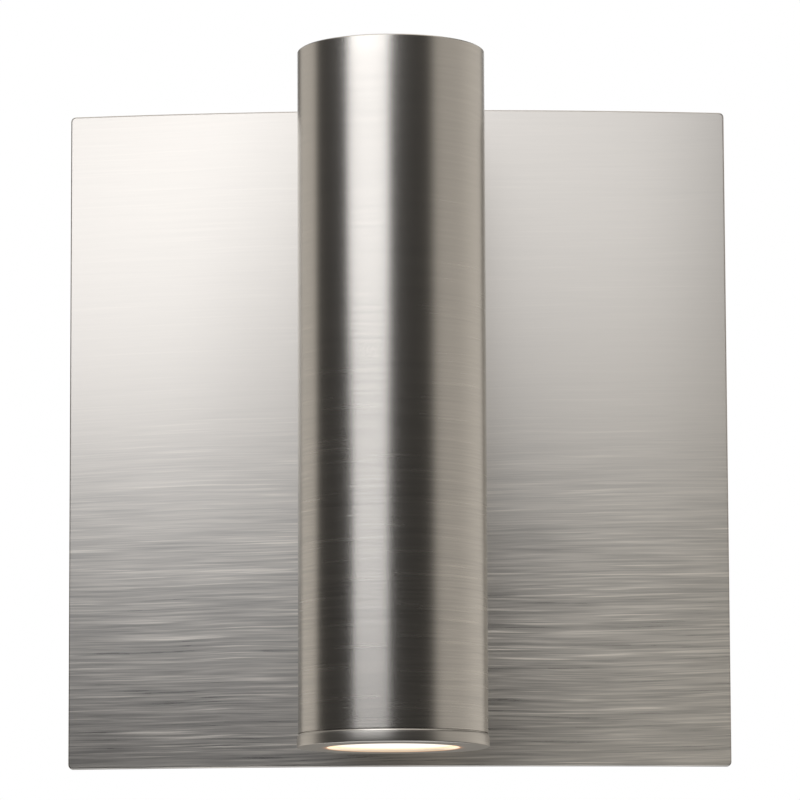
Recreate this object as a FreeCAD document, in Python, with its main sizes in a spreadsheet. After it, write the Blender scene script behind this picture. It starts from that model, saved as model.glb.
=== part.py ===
"""Tube wall light: a vertical round tube on a bowed square back plate.

Millimetres. The origin is on the wall, at the middle of the wall strap's back
face. +Y goes into the wall, the light's front faces -Y, and +Z is up.
"""
import FreeCAD, Part
import math
import os
import re

import Sketcher

# Every size that can be set on its own: name, value, what it is.
SIZES = [
    ("plate_side", 203.2, "width and height of the square back plate"),
    ("plate_thick", 2.0, "sheet thickness of the back plate"),
    ("plate_bow", 8.2, "how far the plate's middle stands forward of its sides"),
    ("plate_gap", 6.0, "wall to the plate's back at its side edges"),
    ("plate_corner", 1.5, "corner radius of the plate, seen from the front"),
    ("plate_edge", 0.5, "rounding of the plate's front edge"),
    ("plate_hole", 5.2, "radius of the plate's middle hole"),
    ("pan_side", 150.0, "width and height of the mounting pan"),
    ("pan_thick", 1.5, "sheet thickness of the mounting pan"),
    ("strap_thick", 2.0, "sheet thickness of the wall strap"),
    ("strap_width", 20.0, "width of the strap's bars"),
    ("strap_length", 116.0, "length of the strap's level bar"),
    ("strap_hub", 19.0, "radius of the strap's round middle"),
    ("strap_hole", 9.0, "radius of the wire hole in the strap"),
    ("strap_clearance", 0.3, "strap ears to the pan's walls"),
    ("ear_depth", 9.0, "how far the strap's ears reach forward"),
    ("slot_spacing", 79.4, "distance between the strap's slots"),
    ("slot_width", 4.8, "width of a strap slot"),
    ("slot_length", 16.0, "end-to-end length of a strap slot"),
    ("ground_up", 34.0, "ground screw above the light's middle"),
    ("tube_outer", 54.6, "outside diameter of the light tube"),
    ("tube_wall", 1.5, "wall of the light tube"),
    ("tube_length", 203.2, "height of the tube with its bezel"),
    ("tube_stand", 98.0, "plate's side edges to the tube's axis"),
    ("tube_rim", 0.3, "chamfer of the tube's top rim"),
    ("bezel_height", 4.0, "height of the bezel ring below the tube"),
    ("bezel_outer", 55.3, "outside diameter of the bezel ring"),
    ("bezel_opening", 38.0, "diameter of the light opening"),
    ("bezel_ledge", 0.8, "thickness of the ledge that holds the lens"),
    ("bezel_chamfer", 0.4, "chamfers of the bezel ring"),
    ("bezel_seam", 0.05, "gap of the seam between tube and bezel"),
    ("thread_height", 8.0, "height of the bezel's threaded skirt"),
    ("thread_wall", 1.6, "wall of the bezel's threaded skirt"),
    ("thread_clearance", 0.06, "radial running clearance of the bezel thread"),
    ("lens_outer", 45.6, "diameter of the lens"),
    ("lens_thick", 2.4, "thickness of the lens"),
    ("lens_edge", 0.3, "chamfer of the lens's lower edge"),
    ("lens_clearance", 0.25, "radial clearance round the lens"),
    ("lens_lift", 0.05, "running gap between lens and ledge"),
    ("gasket_thick", 1.0, "thickness of the lens gasket"),
    ("gasket_wall", 2.2, "radial width of the lens gasket"),
    ("gasket_gap", 0.3, "gasket to reflector lip"),
    ("reflector_wall", 1.0, "wall of the reflector"),
    ("reflector_lip", 22.6, "outer radius of the reflector's lip"),
    ("reflector_mouth", 20.4, "inner radius of the reflector's mouth"),
    ("reflector_throat", 9.5, "inner radius of the reflector's throat"),
    ("sink_up", 23.55, "heat sink's lower face above the tube's lower end"),
    ("sink_radius", 25.5, "outer radius of the heat sink"),
    ("sink_base", 6.0, "thickness of the heat sink's base"),
    ("sink_height", 30.0, "height of the heat sink with its fins"),
    ("sink_post", 8.0, "radius of the heat sink's middle post"),
    ("fin_thick", 1.5, "thickness of a fin"),
    ("fin_root", 1.0, "how deep the fins run into base and post"),
    ("fin_margin", 0.5, "fins' outer edge inside the base's edge"),
    ("fin_drop", 2.0, "fins' top below the post's top"),
    ("fin_count", 16, "number of fins"),
    ("pad_side", 22.0, "side of the thermal pad"),
    ("pad_thick", 0.3, "thickness of the thermal pad"),
    ("board_side", 20.0, "side of the light source's board"),
    ("board_thick", 1.2, "thickness of the light source's board"),
    ("board_clearance", 0.2, "holder's pocket round pad and board"),
    ("emitter_radius", 7.0, "radius of the light source's emitting disc"),
    ("emitter_thick", 0.5, "thickness of the emitting disc"),
    ("emitter_clearance", 0.5, "holder's opening round the emitting disc"),
    ("holder_radius", 22.0, "outer radius of the light source's holder"),
    ("holder_height", 5.5, "height of the light source's holder"),
    ("nipple_radius", 5.0, "outer radius of the threaded nipple"),
    ("nipple_bore", 3.6, "bore radius of the nipple"),
    ("nipple_end", 0.5, "nipple's reach past its nuts, and its chamfers"),
    ("nut_across", 14.0, "nipple nut across its flats"),
    ("nut_thick", 4.0, "thickness of a nipple nut"),
    ("washer_radius", 10.0, "outer radius of the pan's washer"),
    ("washer_thick", 1.0, "thickness of the pan's washer"),
    ("bushing_wall", 0.6, "wall of the bushings in the nipple's ends"),
    ("bushing_depth", 3.0, "bushing's depth in the nipple"),
    ("bushing_rim", 0.8, "thickness of a bushing's rim"),
    ("arm_radius", 16.0, "radius of the arm between plate and tube"),
    ("arm_bore", 5.4, "bore radius of the arm"),
    ("spacer_thick", 4.0, "saddle spacer, tube's inner wall to bracket"),
    ("spacer_side", 18.0, "width and height of the saddle spacer"),
    ("bracket_width", 20.0, "width of the inner bracket"),
    ("bracket_thick", 1.5, "sheet thickness of the inner bracket"),
    ("bracket_reach", 36.0, "depth of the bracket's flanges"),
    ("cap_thick", 2.0, "thickness of the top cap"),
    ("cap_recess", 2.4, "top cap below the tube's rim"),
    ("cap_skirt", 5.0, "height of the top cap's skirt"),
    ("cap_wall", 1.5, "wall of the top cap's skirt"),
    ("cap_edge", 0.3, "chamfer of the top cap"),
    ("cap_clearance", 0.05, "radial clearance of the top cap"),
    ("cap_screw_across", 6.0, "cap screws to each side of the middle"),
    ("cap_screw_deep", 20.0, "cap screws in front of the bracket"),
    ("cap_screw_reach", 6.0, "length of the cap screws"),
    ("case_width", 30.0, "width of the driver's case"),
    ("case_depth", 22.0, "depth of the driver's case"),
    ("case_low", 22.0, "driver's case above the tube's middle"),
    ("case_gap", 3.7, "case's upper lug to the bracket's upper flange"),
    ("case_wall", 1.2, "wall of the driver's case"),
    ("lug_width", 12.0, "width of the case's screw lugs"),
    ("lug_height", 8.0, "height of the case's screw lugs"),
    ("lug_thick", 1.5, "thickness of the case's screw lugs"),
    ("driver_width", 25.0, "width of the driver's board"),
    ("driver_sheet", 1.6, "thickness of the driver's board"),
    ("driver_margin", 4.0, "driver's board inside the case's ends"),
    ("standoff_height", 5.0, "height of the driver's standoffs"),
    ("standoff_radius", 2.2, "radius of the driver's standoffs"),
    ("standoff_inset", 6.0, "standoffs inside the case's ends"),
    ("block_width", 15.0, "width of the terminal block"),
    ("block_length", 30.0, "length of the terminal block"),
    ("block_height", 8.5, "terminal block's front to the pan's web"),
    ("block_across", 36.0, "terminal block's middle to the light's middle"),
    ("block_down", 39.0, "terminal block's middle below the light's middle"),
    ("block_groove", 1.2, "width of the grooves between the block's poles"),
    ("pole_pitch", 9.5, "distance between the block's poles"),
    ("clamp_radius", 1.7, "radius of the block's clamp screws"),
    ("clamp_height", 1.4, "height of the block's clamp screws"),
    ("well_depth", 3.0, "depth of the clamp screws' wells"),
    ("wire_drop", 4.5, "block's front to its wire holes"),
    ("wire_hole_depth", 5.0, "depth of the block's wire holes"),
    ("stud_radius", 2.0, "radius of the plate's welded studs"),
    ("stud_length", 8.0, "length of the plate's welded studs"),
    ("stud_chamfer", 0.5, "chamfer of the studs' ends"),
    ("stud_up", 56.0, "studs above and below the middle"),
    ("stud_nut_across", 7.0, "stud nut across its flats"),
    ("stud_nut_thick", 3.2, "thickness of a stud nut"),
    ("tag_radius", 3.6, "radius of the earth tag's eye"),
    ("tag_thick", 0.8, "thickness of the earth tag"),
    ("tag_down", 34.0, "earth tag below the light's middle"),
    ("tag_neck", 4.6, "middle of the earth tag's neck from its eye"),
    ("tag_barrel", 1.4, "radius of the earth tag's barrel"),
    ("barrel_length", 6.0, "length of the earth tag's barrel"),
    ("barrel_lift", 0.15, "earth tag's barrel clear of the web"),
    ("bow_lift", 0.015, "flat seats clear of the web's slight bow"),
    ("hole_clearance", 0.2, "radial clearance of screw and wire holes"),
    ("screw_radius", 1.5, "radius of the small screws"),
    ("screw_head", 2.9, "head radius of the small screws"),
    ("head_height", 1.8, "head height of the small screws"),
    ("sink_screw_across", 4.5, "heat sink screws to each side of the middle"),
    ("sink_screw_head", 2.5, "head radius of the heat sink screws"),
    ("sink_screw_reach", 8.0, "length of the heat sink screws"),
    ("holder_screw_across", 15.5, "holder screws to each side of the middle"),
    ("side_screw_radius", 2.0, "radius of the side screws"),
    ("side_screw_head", 4.0, "head radius of the side screws"),
    ("side_head_height", 2.5, "head height of the side screws"),
    ("side_screw_reach", 7.0, "side screw's length under its head"),
    ("side_screw_back", 5.0, "side screws in front of the wall"),
    ("lead_radius", 0.9, "radius of an insulated lead"),
    ("lead_step", 1.6, "supply leads off the nipple's axis"),
    ("lead_straight", 8.0, "leads' straight run out of the block"),
    ("lead_behind", 3.6, "leads' turn behind the nipple's end"),
    ("lead_below", 10.0, "where the supply pair comes up to the nipple"),
    ("lead_before", 12.0, "leads' turn in front of the nipple's inner end"),
    ("led_lead_across", 9.0, "light leads at the driver, off the middle"),
    ("led_lead_before", 6.0, "light leads in front of the nipple's inner end"),
    ("led_lead_drop", 12.0, "light leads' straight run under the driver"),
    ("led_lead_ring", 20.0, "light leads off the tube's axis in the heat sink"),
]

# Sizes that follow from the ones above.
LAYOUT = [
    ("bow_front", "((plate_side / 2) ^ 2 + plate_bow ^ 2) / (2 * plate_bow)", "front face radius"),
    ("bow_back", "bow_front - plate_thick", "back face radius"),
    ("web_back", "bow_back - pan_thick", "pan web's back face radius"),
    ("plate_face", "-(plate_gap + plate_thick + plate_bow)", "plate's front at its middle"),
    ("bow_centre", "plate_face + bow_front", "axis of the bow, behind the wall"),
    ("web_face", "bow_centre - web_back", "pan web's back at its middle"),
    ("tube_axis", "-(plate_gap + plate_thick + tube_stand)", "tube's axis in front of the wall"),
    ("tube_top", "tube_length / 2", "tube's top rim"),
    ("tube_bottom", "-tube_length / 2 + bezel_height + bezel_seam", "tube's lower end"),
    ("tube_inner", "tube_outer / 2 - tube_wall", "inner radius of the tube"),
    ("bezel_low", "-tube_length / 2", "bezel's lower face"),
    ("lens_low", "bezel_low + bezel_ledge + lens_lift", "lens's lower face"),
    ("lens_top", "lens_low + lens_thick", "lens's upper face"),
    ("gasket_top", "lens_top + gasket_thick", "gasket's upper face"),
    ("sink_face", "tube_bottom + sink_up", "heat sink's lower face"),
    ("sink_top", "sink_face + sink_height", "top of the heat sink's post"),
    ("pad_low", "sink_face - pad_thick", "thermal pad's lower face"),
    ("board_low", "pad_low - board_thick", "light board's lower face"),
    ("holder_low", "sink_face - holder_height", "holder's lower face"),
    ("saddle_face", "tube_axis + tube_inner - spacer_thick", "bracket's back face"),
    ("bracket_face", "saddle_face - bracket_thick", "bracket's front face"),
    ("nut_face", "bracket_face - nut_thick", "inner nut's front face"),
    ("pan_nut_face", "web_face + washer_thick", "pan nut's front face"),
    ("nipple_front", "nut_face - nipple_end", "nipple's end inside the tube"),
    ("nipple_back", "pan_nut_face + nut_thick + nipple_end", "nipple's end inside the pan"),
    ("cap_top", "tube_top - cap_recess", "top cap's upper face"),
    ("cap_under", "cap_top - cap_thick", "top cap's lower face"),
    ("case_height", "cap_under - bracket_thick - case_gap - lug_height - case_low", "case's height"),
    ("pan_inner", "pan_side / 2 - pan_thick", "middle to the pan's inner wall"),
    ("ear_outer", "pan_inner - strap_clearance", "middle to the ear's outer face"),
    ("deep", "-2 * plate_face", "a depth that reaches through the plate and pan"),
    ("lead_angle", "2.5 * 360 / fin_count", "light leads between two fins, from the right"),
    ("led_lead_side", "led_lead_ring * cos(lead_angle)", "light leads off the middle"),
    ("led_lead_line", "tube_axis + led_lead_ring * sin(lead_angle)", "light leads' depth"),
    ("wire_line", "web_face + block_height - wire_drop", "leads' depth at the block"),
    ("block_side", "block_across - block_width / 2", "terminal block's inner side"),
    ("lead_turn", "nipple_back + lead_behind", "supply leads' depth behind the nipple"),
    ("barrel_line", "web_face + tag_barrel + barrel_lift", "earth lead's depth at its tag"),
]

DOWN, UP, BACK, FRONT, RIGHT, LEFT = "down", "up", "back", "front", "right", "left"
TURNS = {
    UP: FreeCAD.Rotation(),
    DOWN: FreeCAD.Rotation(FreeCAD.Vector(1, 0, 0), 180),
    BACK: FreeCAD.Rotation(FreeCAD.Vector(1, 0, 0), -90),
    FRONT: FreeCAD.Rotation(FreeCAD.Vector(1, 0, 0), 90),
    RIGHT: FreeCAD.Rotation(FreeCAD.Vector(0, 1, 0), 90),
    LEFT: FreeCAD.Rotation(FreeCAD.Vector(0, 1, 0), -90),
}
TUBE = ("0", "tube_axis", "0")

doc = FreeCAD.newDocument("TubeWallLight")
sizes = doc.addObject("Spreadsheet::Sheet", "Sizes")
layout = doc.addObject("App::VarSet", "Layout")
holders = {}
parts = {}


def full(expression):
    """Put each size's holder in front of its name, as the document's expressions need."""
    return re.sub(r"[a-z_]+", lambda word: holders.get(word.group(), "") + word.group(), expression)


def value(expression):
    """The number that an expression of sizes comes to."""
    return float(sizes.evalExpression(full(expression)))


def place(item, at, facing=UP):
    """Turn an object so that its own Z points one way, and bind where it stands."""
    item.Placement = FreeCAD.Placement(FreeCAD.Vector(), TURNS[facing])
    for axis, expression in zip("xyz", at):
        item.setExpression("Placement.Base." + axis, full(expression))
    return item


def part(label, item):
    """Name a finished piece, so that it gets a file of its own."""
    item.Label = label
    parts[label] = item
    return item


def box(corner, lengths):
    """A block from its lowest corner."""
    item = doc.addObject("Part::Box", "Block")
    for name, expression in zip(("Length", "Width", "Height"), lengths):
        item.setExpression(name, full(expression))
    return place(item, corner)


def centred_box(centre, lengths):
    """A block about its middle."""
    return box(["(%s) - (%s) / 2" % pair for pair in zip(centre, lengths)], lengths)


def cylinder(radius, height, at, facing=UP):
    """A round bar from the middle of its base."""
    item = doc.addObject("Part::Cylinder", "Bar")
    item.setExpression("Radius", full(radius))
    item.setExpression("Height", full(height))
    return place(item, at, facing)


def hexagon(across, height, at, facing=UP):
    """A six-sided bar from the middle of its base."""
    item = doc.addObject("Part::Prism", "Hexagon")
    item.Polygon = 6
    item.setExpression("Circumradius", full("(%s) / sqrt(3)" % across))
    item.setExpression("Height", full(height))
    return place(item, at, facing)


def fuse(*items):
    """Join solids."""
    item = doc.addObject("Part::MultiFuse", "Joined")
    item.Shapes = list(items)
    return item


def cut(base, *tools):
    """Take tools away from a solid."""
    item = doc.addObject("Part::Cut", "Cut")
    item.Base = base
    item.Tool = tools[0] if len(tools) == 1 else fuse(*tools)
    return item


def common(base, tool):
    """What two solids share."""
    item = doc.addObject("Part::Common", "Shared")
    item.Base = base
    item.Tool = tool
    return item


def together(items):
    """Like pieces that share one file."""
    item = doc.addObject("Part::Compound", "Set")
    item.Links = list(items)
    return item


def origin_plane(body, role):
    """One of a body's own base planes."""
    return [feature for feature in body.Origin.OriginFeatures if feature.Role == role][0]


def outline(body, role, corners):
    """A closed sketch of straight lines, each corner bound to the sizes."""
    sketch = body.newObject("Sketcher::SketchObject", "Outline")
    sketch.AttachmentSupport = [(origin_plane(body, role), "")]
    sketch.MapMode = "FlatFace"
    points = [FreeCAD.Vector(value(across), value(up), 0) for across, up in corners]
    for start, end in zip(points, points[1:] + points[:1]):
        sketch.addGeometry(Part.LineSegment(start, end), False)
    for line in range(len(points)):
        after = (line + 1) % len(points)
        sketch.addConstraint(Sketcher.Constraint("Coincident", line, 2, after, 1))
    for line, corner in enumerate(corners):
        for kind, axis, expression in (("DistanceX", -2, corner[0]), ("DistanceY", -1, corner[1])):
            if expression == "0":
                sketch.addConstraint(Sketcher.Constraint("PointOnObject", line, 1, axis))
                continue
            bound = sketch.addConstraint(
                Sketcher.Constraint(kind, -1, 1, line, 1, value(expression)))
            sketch.setExpression("Constraints[%d]" % bound, full(expression))
    return sketch


def lathe(profile, at, facing=UP):
    """A turned piece: its profile's corners are (radius, height) about its own axis."""
    body = doc.addObject("PartDesign::Body", "Turned")
    turned = body.newObject("PartDesign::Revolution", "Turn")
    turned.Profile = outline(body, "XZ_Plane", profile)
    turned.ReferenceAxis = (turned.Profile[0], ["V_Axis"])
    turned.Angle = 360
    return place(body, at, facing)


def screw(radius, reach, head, height, at, facing, drive="screw_radius * 1.3"):
    """A screw with a low round head and a hexagon socket, its head's seat at the point."""
    blank = lathe([
        ("0", "-(%s)" % reach), ("(%s) * 0.8" % radius, "-(%s)" % reach),
        (radius, "-(%s) * 0.9" % reach), (radius, "0"), (head, "0"),
        (head, "(%s) * 0.55" % height), ("(%s) * 0.72" % head, height), ("0", height),
    ], at, facing)
    socket = doc.addObject("Part::Prism", "Socket")
    socket.Polygon = 6
    socket.setExpression("Circumradius", full("(%s) / sqrt(3)" % drive))
    socket.setExpression("Height", full(height))
    turn = TURNS[facing]
    way = turn.multVec(FreeCAD.Vector(0, 0, 1))
    shifted = ["(%s) + (%s) * %g" % (base, "(%s) * 0.4" % height, step)
               for base, step in zip(at, way)]
    return cut(blank, place(socket, shifted, facing))


def lead(corners, radii):
    """A round lead along straight runs joined by arcs that meet them without a kink."""
    points = [FreeCAD.Vector(*(value(part_of) for part_of in corner)) for corner in corners]
    edges, start = [], points[0]
    for before, corner, after, radius in zip(points, points[1:], points[2:], map(value, radii)):
        back, ahead = (before - corner).normalize(), (after - corner).normalize()
        half = back.getAngle(ahead) / 2
        reach = radius / math.tan(half)
        inward = (back + ahead).normalize() * (radius / math.sin(half) - radius)
        first, last = corner + back * reach, corner + ahead * reach
        edges.append(Part.LineSegment(start, first).toShape())
        edges.append(Part.Arc(first, corner + inward, last).toShape())
        start = last
    edges.append(Part.LineSegment(start, points[-1]).toShape())
    route = doc.addObject("Part::Feature", "Route")
    route.Shape = Part.Wire(edges)
    section = doc.addObject("Part::Circle", "Section")
    section.Placement = FreeCAD.Placement(
        points[0], FreeCAD.Rotation(FreeCAD.Vector(0, 0, 1), points[1] - points[0]))
    section.setExpression("Radius", full("lead_radius"))
    swept = doc.addObject("Part::Sweep", "Lead")
    swept.Sections = [section]
    swept.Spine = (route, [])
    swept.Solid = True
    swept.Frenet = False
    return swept


for row, (name, number, note) in enumerate(SIZES, 1):
    sizes.set("A%d" % row, name)
    sizes.set("B%d" % row, str(number))
    sizes.set("C%d" % row, note)
    sizes.setAlias("B%d" % row, name)
    holders[name] = "Sizes."
doc.recompute()
for name, expression, note in LAYOUT:
    layout.addProperty("App::PropertyFloat", name, "Layout", note)
    layout.setExpression(name, full(expression))
    holders[name] = "Layout."
    doc.recompute()

# --- Back plate: a bowed square sheet, its top and bottom edges level -------------
plate = doc.addObject("PartDesign::Body", "Plate")
plan = plate.newObject("Sketcher::SketchObject", "Plan")
plan.AttachmentSupport = [(origin_plane(plate, "XY_Plane"), "")]
plan.MapMode = "FlatFace"
half, middle = value("plate_side / 2"), FreeCAD.Vector(0, value("bow_centre"), 0)
for radius in ("bow_front", "bow_back"):
    lean = math.asin(half / value(radius))
    whole = Part.Circle(middle, FreeCAD.Vector(0, 0, 1), value(radius))
    plan.addGeometry(Part.ArcOfCircle(whole, -math.pi / 2 - lean, -math.pi / 2 + lean), False)
for end in (1, 2):
    side = [plan.getPoint(arc, end) for arc in (0, 1)]
    line = plan.addGeometry(Part.LineSegment(*side), False)
    plan.addConstraint(Sketcher.Constraint("Coincident", line, 1, 0, end))
    plan.addConstraint(Sketcher.Constraint("Coincident", line, 2, 1, end))
    plan.addConstraint(Sketcher.Constraint("Vertical", line))
plan.addConstraint(Sketcher.Constraint("Coincident", 0, 3, 1, 3))
plan.addConstraint(Sketcher.Constraint("PointOnObject", 0, 3, -2))
for kind, where, expression in (
        ("Radius", (0,), "bow_front"), ("Radius", (1,), "bow_back"),
        ("DistanceY", (-1, 1, 0, 3), "bow_centre"),
        ("DistanceX", (-1, 1, 0, 2), "plate_side / 2"),
        ("DistanceX", (0, 1, -1, 1), "plate_side / 2")):
    bound = plan.addConstraint(Sketcher.Constraint(kind, *where, value(expression)))
    plan.setExpression("Constraints[%d]" % bound, full(expression))
sheet = plate.newObject("PartDesign::Pad", "Sheet")
sheet.Profile = plan
sheet.SideType = "Symmetric"
sheet.setExpression("Length", full("plate_side"))
doc.recompute()


def edges_where(feature, test):
    """The names of a feature's edges that pass a test."""
    return ["Edge%d" % number for number, edge in enumerate(feature.Shape.Edges, 1) if test(edge)]


def across_sheet(edge):
    """A short corner edge that runs through the sheet."""
    return edge.Length < 2 * value("plate_thick")


corners = plate.newObject("PartDesign::Fillet", "Corners")
corners.Base = (sheet, edges_where(sheet, across_sheet))
corners.setExpression("Radius", full("plate_corner"))
doc.recompute()


def on_front(edge):
    """An edge of the plate's front face."""
    radius = value("bow_front")
    axis = FreeCAD.Vector(0, value("bow_centre"), 0)
    spots = [edge.valueAt(edge.FirstParameter + (edge.LastParameter - edge.FirstParameter) * step)
             for step in (0, 0.5, 1)]
    return all(abs(FreeCAD.Vector(spot.x, spot.y, 0).distanceToPoint(axis) - radius) < 0.02
               for spot in spots)


rounding = plate.newObject("PartDesign::Fillet", "Rounding")
rounding.Base = (corners, edges_where(corners, on_front))
rounding.setExpression("Radius", full("plate_edge"))
doc.recompute()
through_plate = cylinder("plate_hole", "deep", ("0", "0", "0"), FRONT)
part("face_plate", cut(plate, through_plate))

studs, stud_nuts = [], []
for side in ("stud_up", "-stud_up"):
    studs.append(lathe([
        ("0", "0"), ("stud_radius", "0"), ("stud_radius", "stud_length - stud_chamfer"),
        ("stud_radius - stud_chamfer", "stud_length"), ("0", "stud_length"),
    ], ("0", "bow_centre - bow_back + bow_lift / 3", side), BACK))
    seat = ("0", "web_face + bow_lift", side)
    stud_nuts.append(cut(hexagon("stud_nut_across", "stud_nut_thick", seat, BACK),
                         cylinder("stud_radius", "stud_nut_thick", seat, BACK)))
part("plate_studs", together(studs))
part("stud_nuts", together(stud_nuts))


# --- Mounting pan: four walls to the wall and a web that lies on the plate's back --
def under_bow(item, radius):
    """The part of a piece that lies behind one of the bowed faces."""
    return common(item, cylinder(radius, "pan_side", ("0", "bow_centre", "-pan_side / 2")))


def through(radius, across="0", up="0"):
    """A hole right through plate and pan."""
    return cylinder(radius, "deep", (across, "0", up), FRONT)


whole = under_bow(box(("-pan_side / 2", "-deep", "-pan_side / 2"),
                      ("pan_side", "deep", "pan_side")), "bow_back")
hollow = under_bow(box(("-pan_inner", "-deep", "-pan_inner"),
                       ("2 * pan_inner", "deep", "2 * pan_inner")), "web_back")
ear_screw_line = ("0", "-side_screw_back", "-pan_side")
part("mounting_pan", cut(
    whole, hollow, through("plate_hole"), through("screw_radius", up="-tag_down"),
    through("stud_radius + hole_clearance", up="stud_up"),
    through("stud_radius + hole_clearance", up="-stud_up"),
    cylinder("side_screw_radius + hole_clearance", "pan_side * 2", ear_screw_line)))

# --- Wall strap: a level bar with two slots, an upright bar with two bent ears -----
strap_bars = [
    box(("-strap_length / 2", "-strap_thick", "-strap_width / 2"),
        ("strap_length", "strap_thick", "strap_width")),
    box(("-strap_width / 2", "-strap_thick", "-ear_outer"),
        ("strap_width", "strap_thick", "2 * ear_outer")),
    cylinder("strap_hub", "strap_thick", ("0", "0", "0"), FRONT),
]
strap_bars += [box(("-strap_width / 2", "-ear_depth", low), ("strap_width", "ear_depth", "strap_thick"))
               for low in ("ear_outer - strap_thick", "-ear_outer")]
strap_holes = [cylinder("strap_hole", "strap_thick", ("0", "0", "0"), FRONT),
               cylinder("side_screw_radius", "pan_side * 2", ear_screw_line),
               cylinder("side_screw_radius", "strap_thick", ("0", "0", "ground_up"), FRONT)]
for side in ("slot_spacing / 2", "-slot_spacing / 2"):
    strap_holes.append(centred_box((side, "-strap_thick / 2", "0"),
                                   ("slot_length - slot_width", "strap_thick", "slot_width")))
    for end in ("+", "-"):
        middle = "%s %s (slot_length - slot_width) / 2" % (side, end)
        strap_holes.append(cylinder("slot_width / 2", "strap_thick", (middle, "0", "0"), FRONT))
part("wall_strap", cut(fuse(*strap_bars), *strap_holes))
part("ground_screw", screw("side_screw_radius", "strap_thick", "side_screw_head", "side_head_height",
                           ("0", "-strap_thick", "ground_up"), FRONT))
part("side_screws", together([
    screw("side_screw_radius", "side_screw_reach", "side_screw_head", "side_head_height",
          ("0", "-side_screw_back", side), way)
    for side, way in (("pan_side / 2", UP), ("-pan_side / 2", DOWN))]))

# --- Terminal block on the pan's web ----------------------------------------------
block = under_bow(
    box(("block_side", "-deep", "-block_down - block_length / 2"),
        ("block_width", "deep + web_face + block_height", "block_length")), "web_back")
block_front = "web_face + block_height"
pole_heights = ["-block_down + %d * pole_pitch" % pole for pole in (1, 0, -1)]
block_cuts, clamps = [], []
for height in pole_heights:
    block_cuts.append(cylinder("clamp_radius + hole_clearance", "well_depth",
                               ("block_across", block_front, height), FRONT))
    for side, way in (("block_side", RIGHT), ("block_side + block_width", LEFT)):
        block_cuts.append(cylinder("lead_radius + hole_clearance", "wire_hole_depth",
                                   (side, "wire_line", height), way))
    clamps.append(cylinder("clamp_radius", "clamp_height",
                           ("block_across", "%s - well_depth" % block_front, height), BACK))
for gap in (-1, 1):
    block_cuts.append(centred_box(
        ("block_across", block_front, "-block_down + %g * pole_pitch / 2" % gap),
        ("block_width", "2 * block_groove", "block_groove")))
part("terminal_block", cut(block, *block_cuts))
part("terminal_screws", together(clamps))

# --- Threaded nipple with its nuts and washer: it clamps tube, arm, plate and pan --
part("nipple", lathe([
    ("nipple_bore", "nipple_front"), ("nipple_radius - nipple_end", "nipple_front"),
    ("nipple_radius", "nipple_front + nipple_end"), ("nipple_radius", "nipple_back - nipple_end"),
    ("nipple_radius - nipple_end", "nipple_back"), ("nipple_bore", "nipple_back"),
], ("0", "0", "0"), BACK))
for label, seat in (("tube_nut", "nut_face"), ("pan_nut", "pan_nut_face")):
    part(label, cut(hexagon("nut_across", "nut_thick", ("0", seat, "0"), BACK),
                    cylinder("nipple_radius", "nut_thick", ("0", seat, "0"), BACK)))
part("pan_washer", under_bow(lathe([
    ("nipple_radius + hole_clearance", "-washer_thick"), ("washer_radius", "-washer_thick"),
    ("washer_radius", "washer_thick"), ("nipple_radius + hole_clearance", "washer_thick"),
], ("0", "web_face", "0"), BACK), "web_back"))
part("wire_bushings", together([
    lathe([
        ("nipple_bore - bushing_wall", "-bushing_depth"), ("nipple_bore", "-bushing_depth"),
        ("nipple_bore", "0"), ("nipple_radius - bushing_wall", "0"),
        ("nipple_radius - bushing_wall", "bushing_rim * 0.7"),
        ("nipple_bore - bushing_wall / 2", "bushing_rim"),
        ("nipple_bore - bushing_wall", "bushing_rim * 0.6"),
    ], ("0", end, "0"), way)
    for end, way in (("nipple_back", BACK), ("nipple_front", FRONT))]))

# --- Arm: a round bar whose ends follow the plate's bow and the tube --------------
bar = cylinder("arm_radius", "-tube_axis", ("0", "tube_axis", "0"), BACK)
part("arm", cut(bar,
                cylinder("arm_bore", "-tube_axis", ("0", "tube_axis", "0"), BACK),
                cylinder("tube_outer / 2", "tube_length", ("0", "tube_axis", "-tube_length / 2")),
                cylinder("bow_front", "plate_side", ("0", "bow_centre", "-plate_side / 2"))))

# --- Light tube and its top cap ---------------------------------------------------
tube = lathe([
    ("tube_inner", "tube_bottom"), ("tube_outer / 2", "tube_bottom"),
    ("tube_outer / 2", "tube_top - tube_rim"), ("tube_outer / 2 - tube_rim", "tube_top"),
    ("tube_inner", "tube_top"),
], TUBE)
part("tube_body", cut(tube, cylinder("plate_hole", "tube_outer / 2", TUBE, BACK)))

cap_radius = "(tube_inner - cap_clearance)"
small_hole = "screw_radius + hole_clearance"
cap_spots = [(across, "bracket_face - cap_screw_deep")
             for across in ("-cap_screw_across", "cap_screw_across")]
part("top_cap", cut(
    lathe([
        ("0", "cap_under"), (cap_radius + " - cap_wall", "cap_under"),
        (cap_radius + " - cap_wall", "cap_top - cap_skirt"), (cap_radius, "cap_top - cap_skirt"),
        (cap_radius, "cap_top - cap_edge"), (cap_radius + " - cap_edge", "cap_top"), ("0", "cap_top"),
    ], TUBE),
    *[cylinder(small_hole, "cap_skirt", (across, line, "cap_top - cap_skirt"))
      for across, line in cap_spots]))
part("cap_screws", together([
    screw("screw_radius", "cap_screw_reach", "screw_head", "head_height", (across, line, "cap_top"), UP)
    for across, line in cap_spots]))

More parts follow.
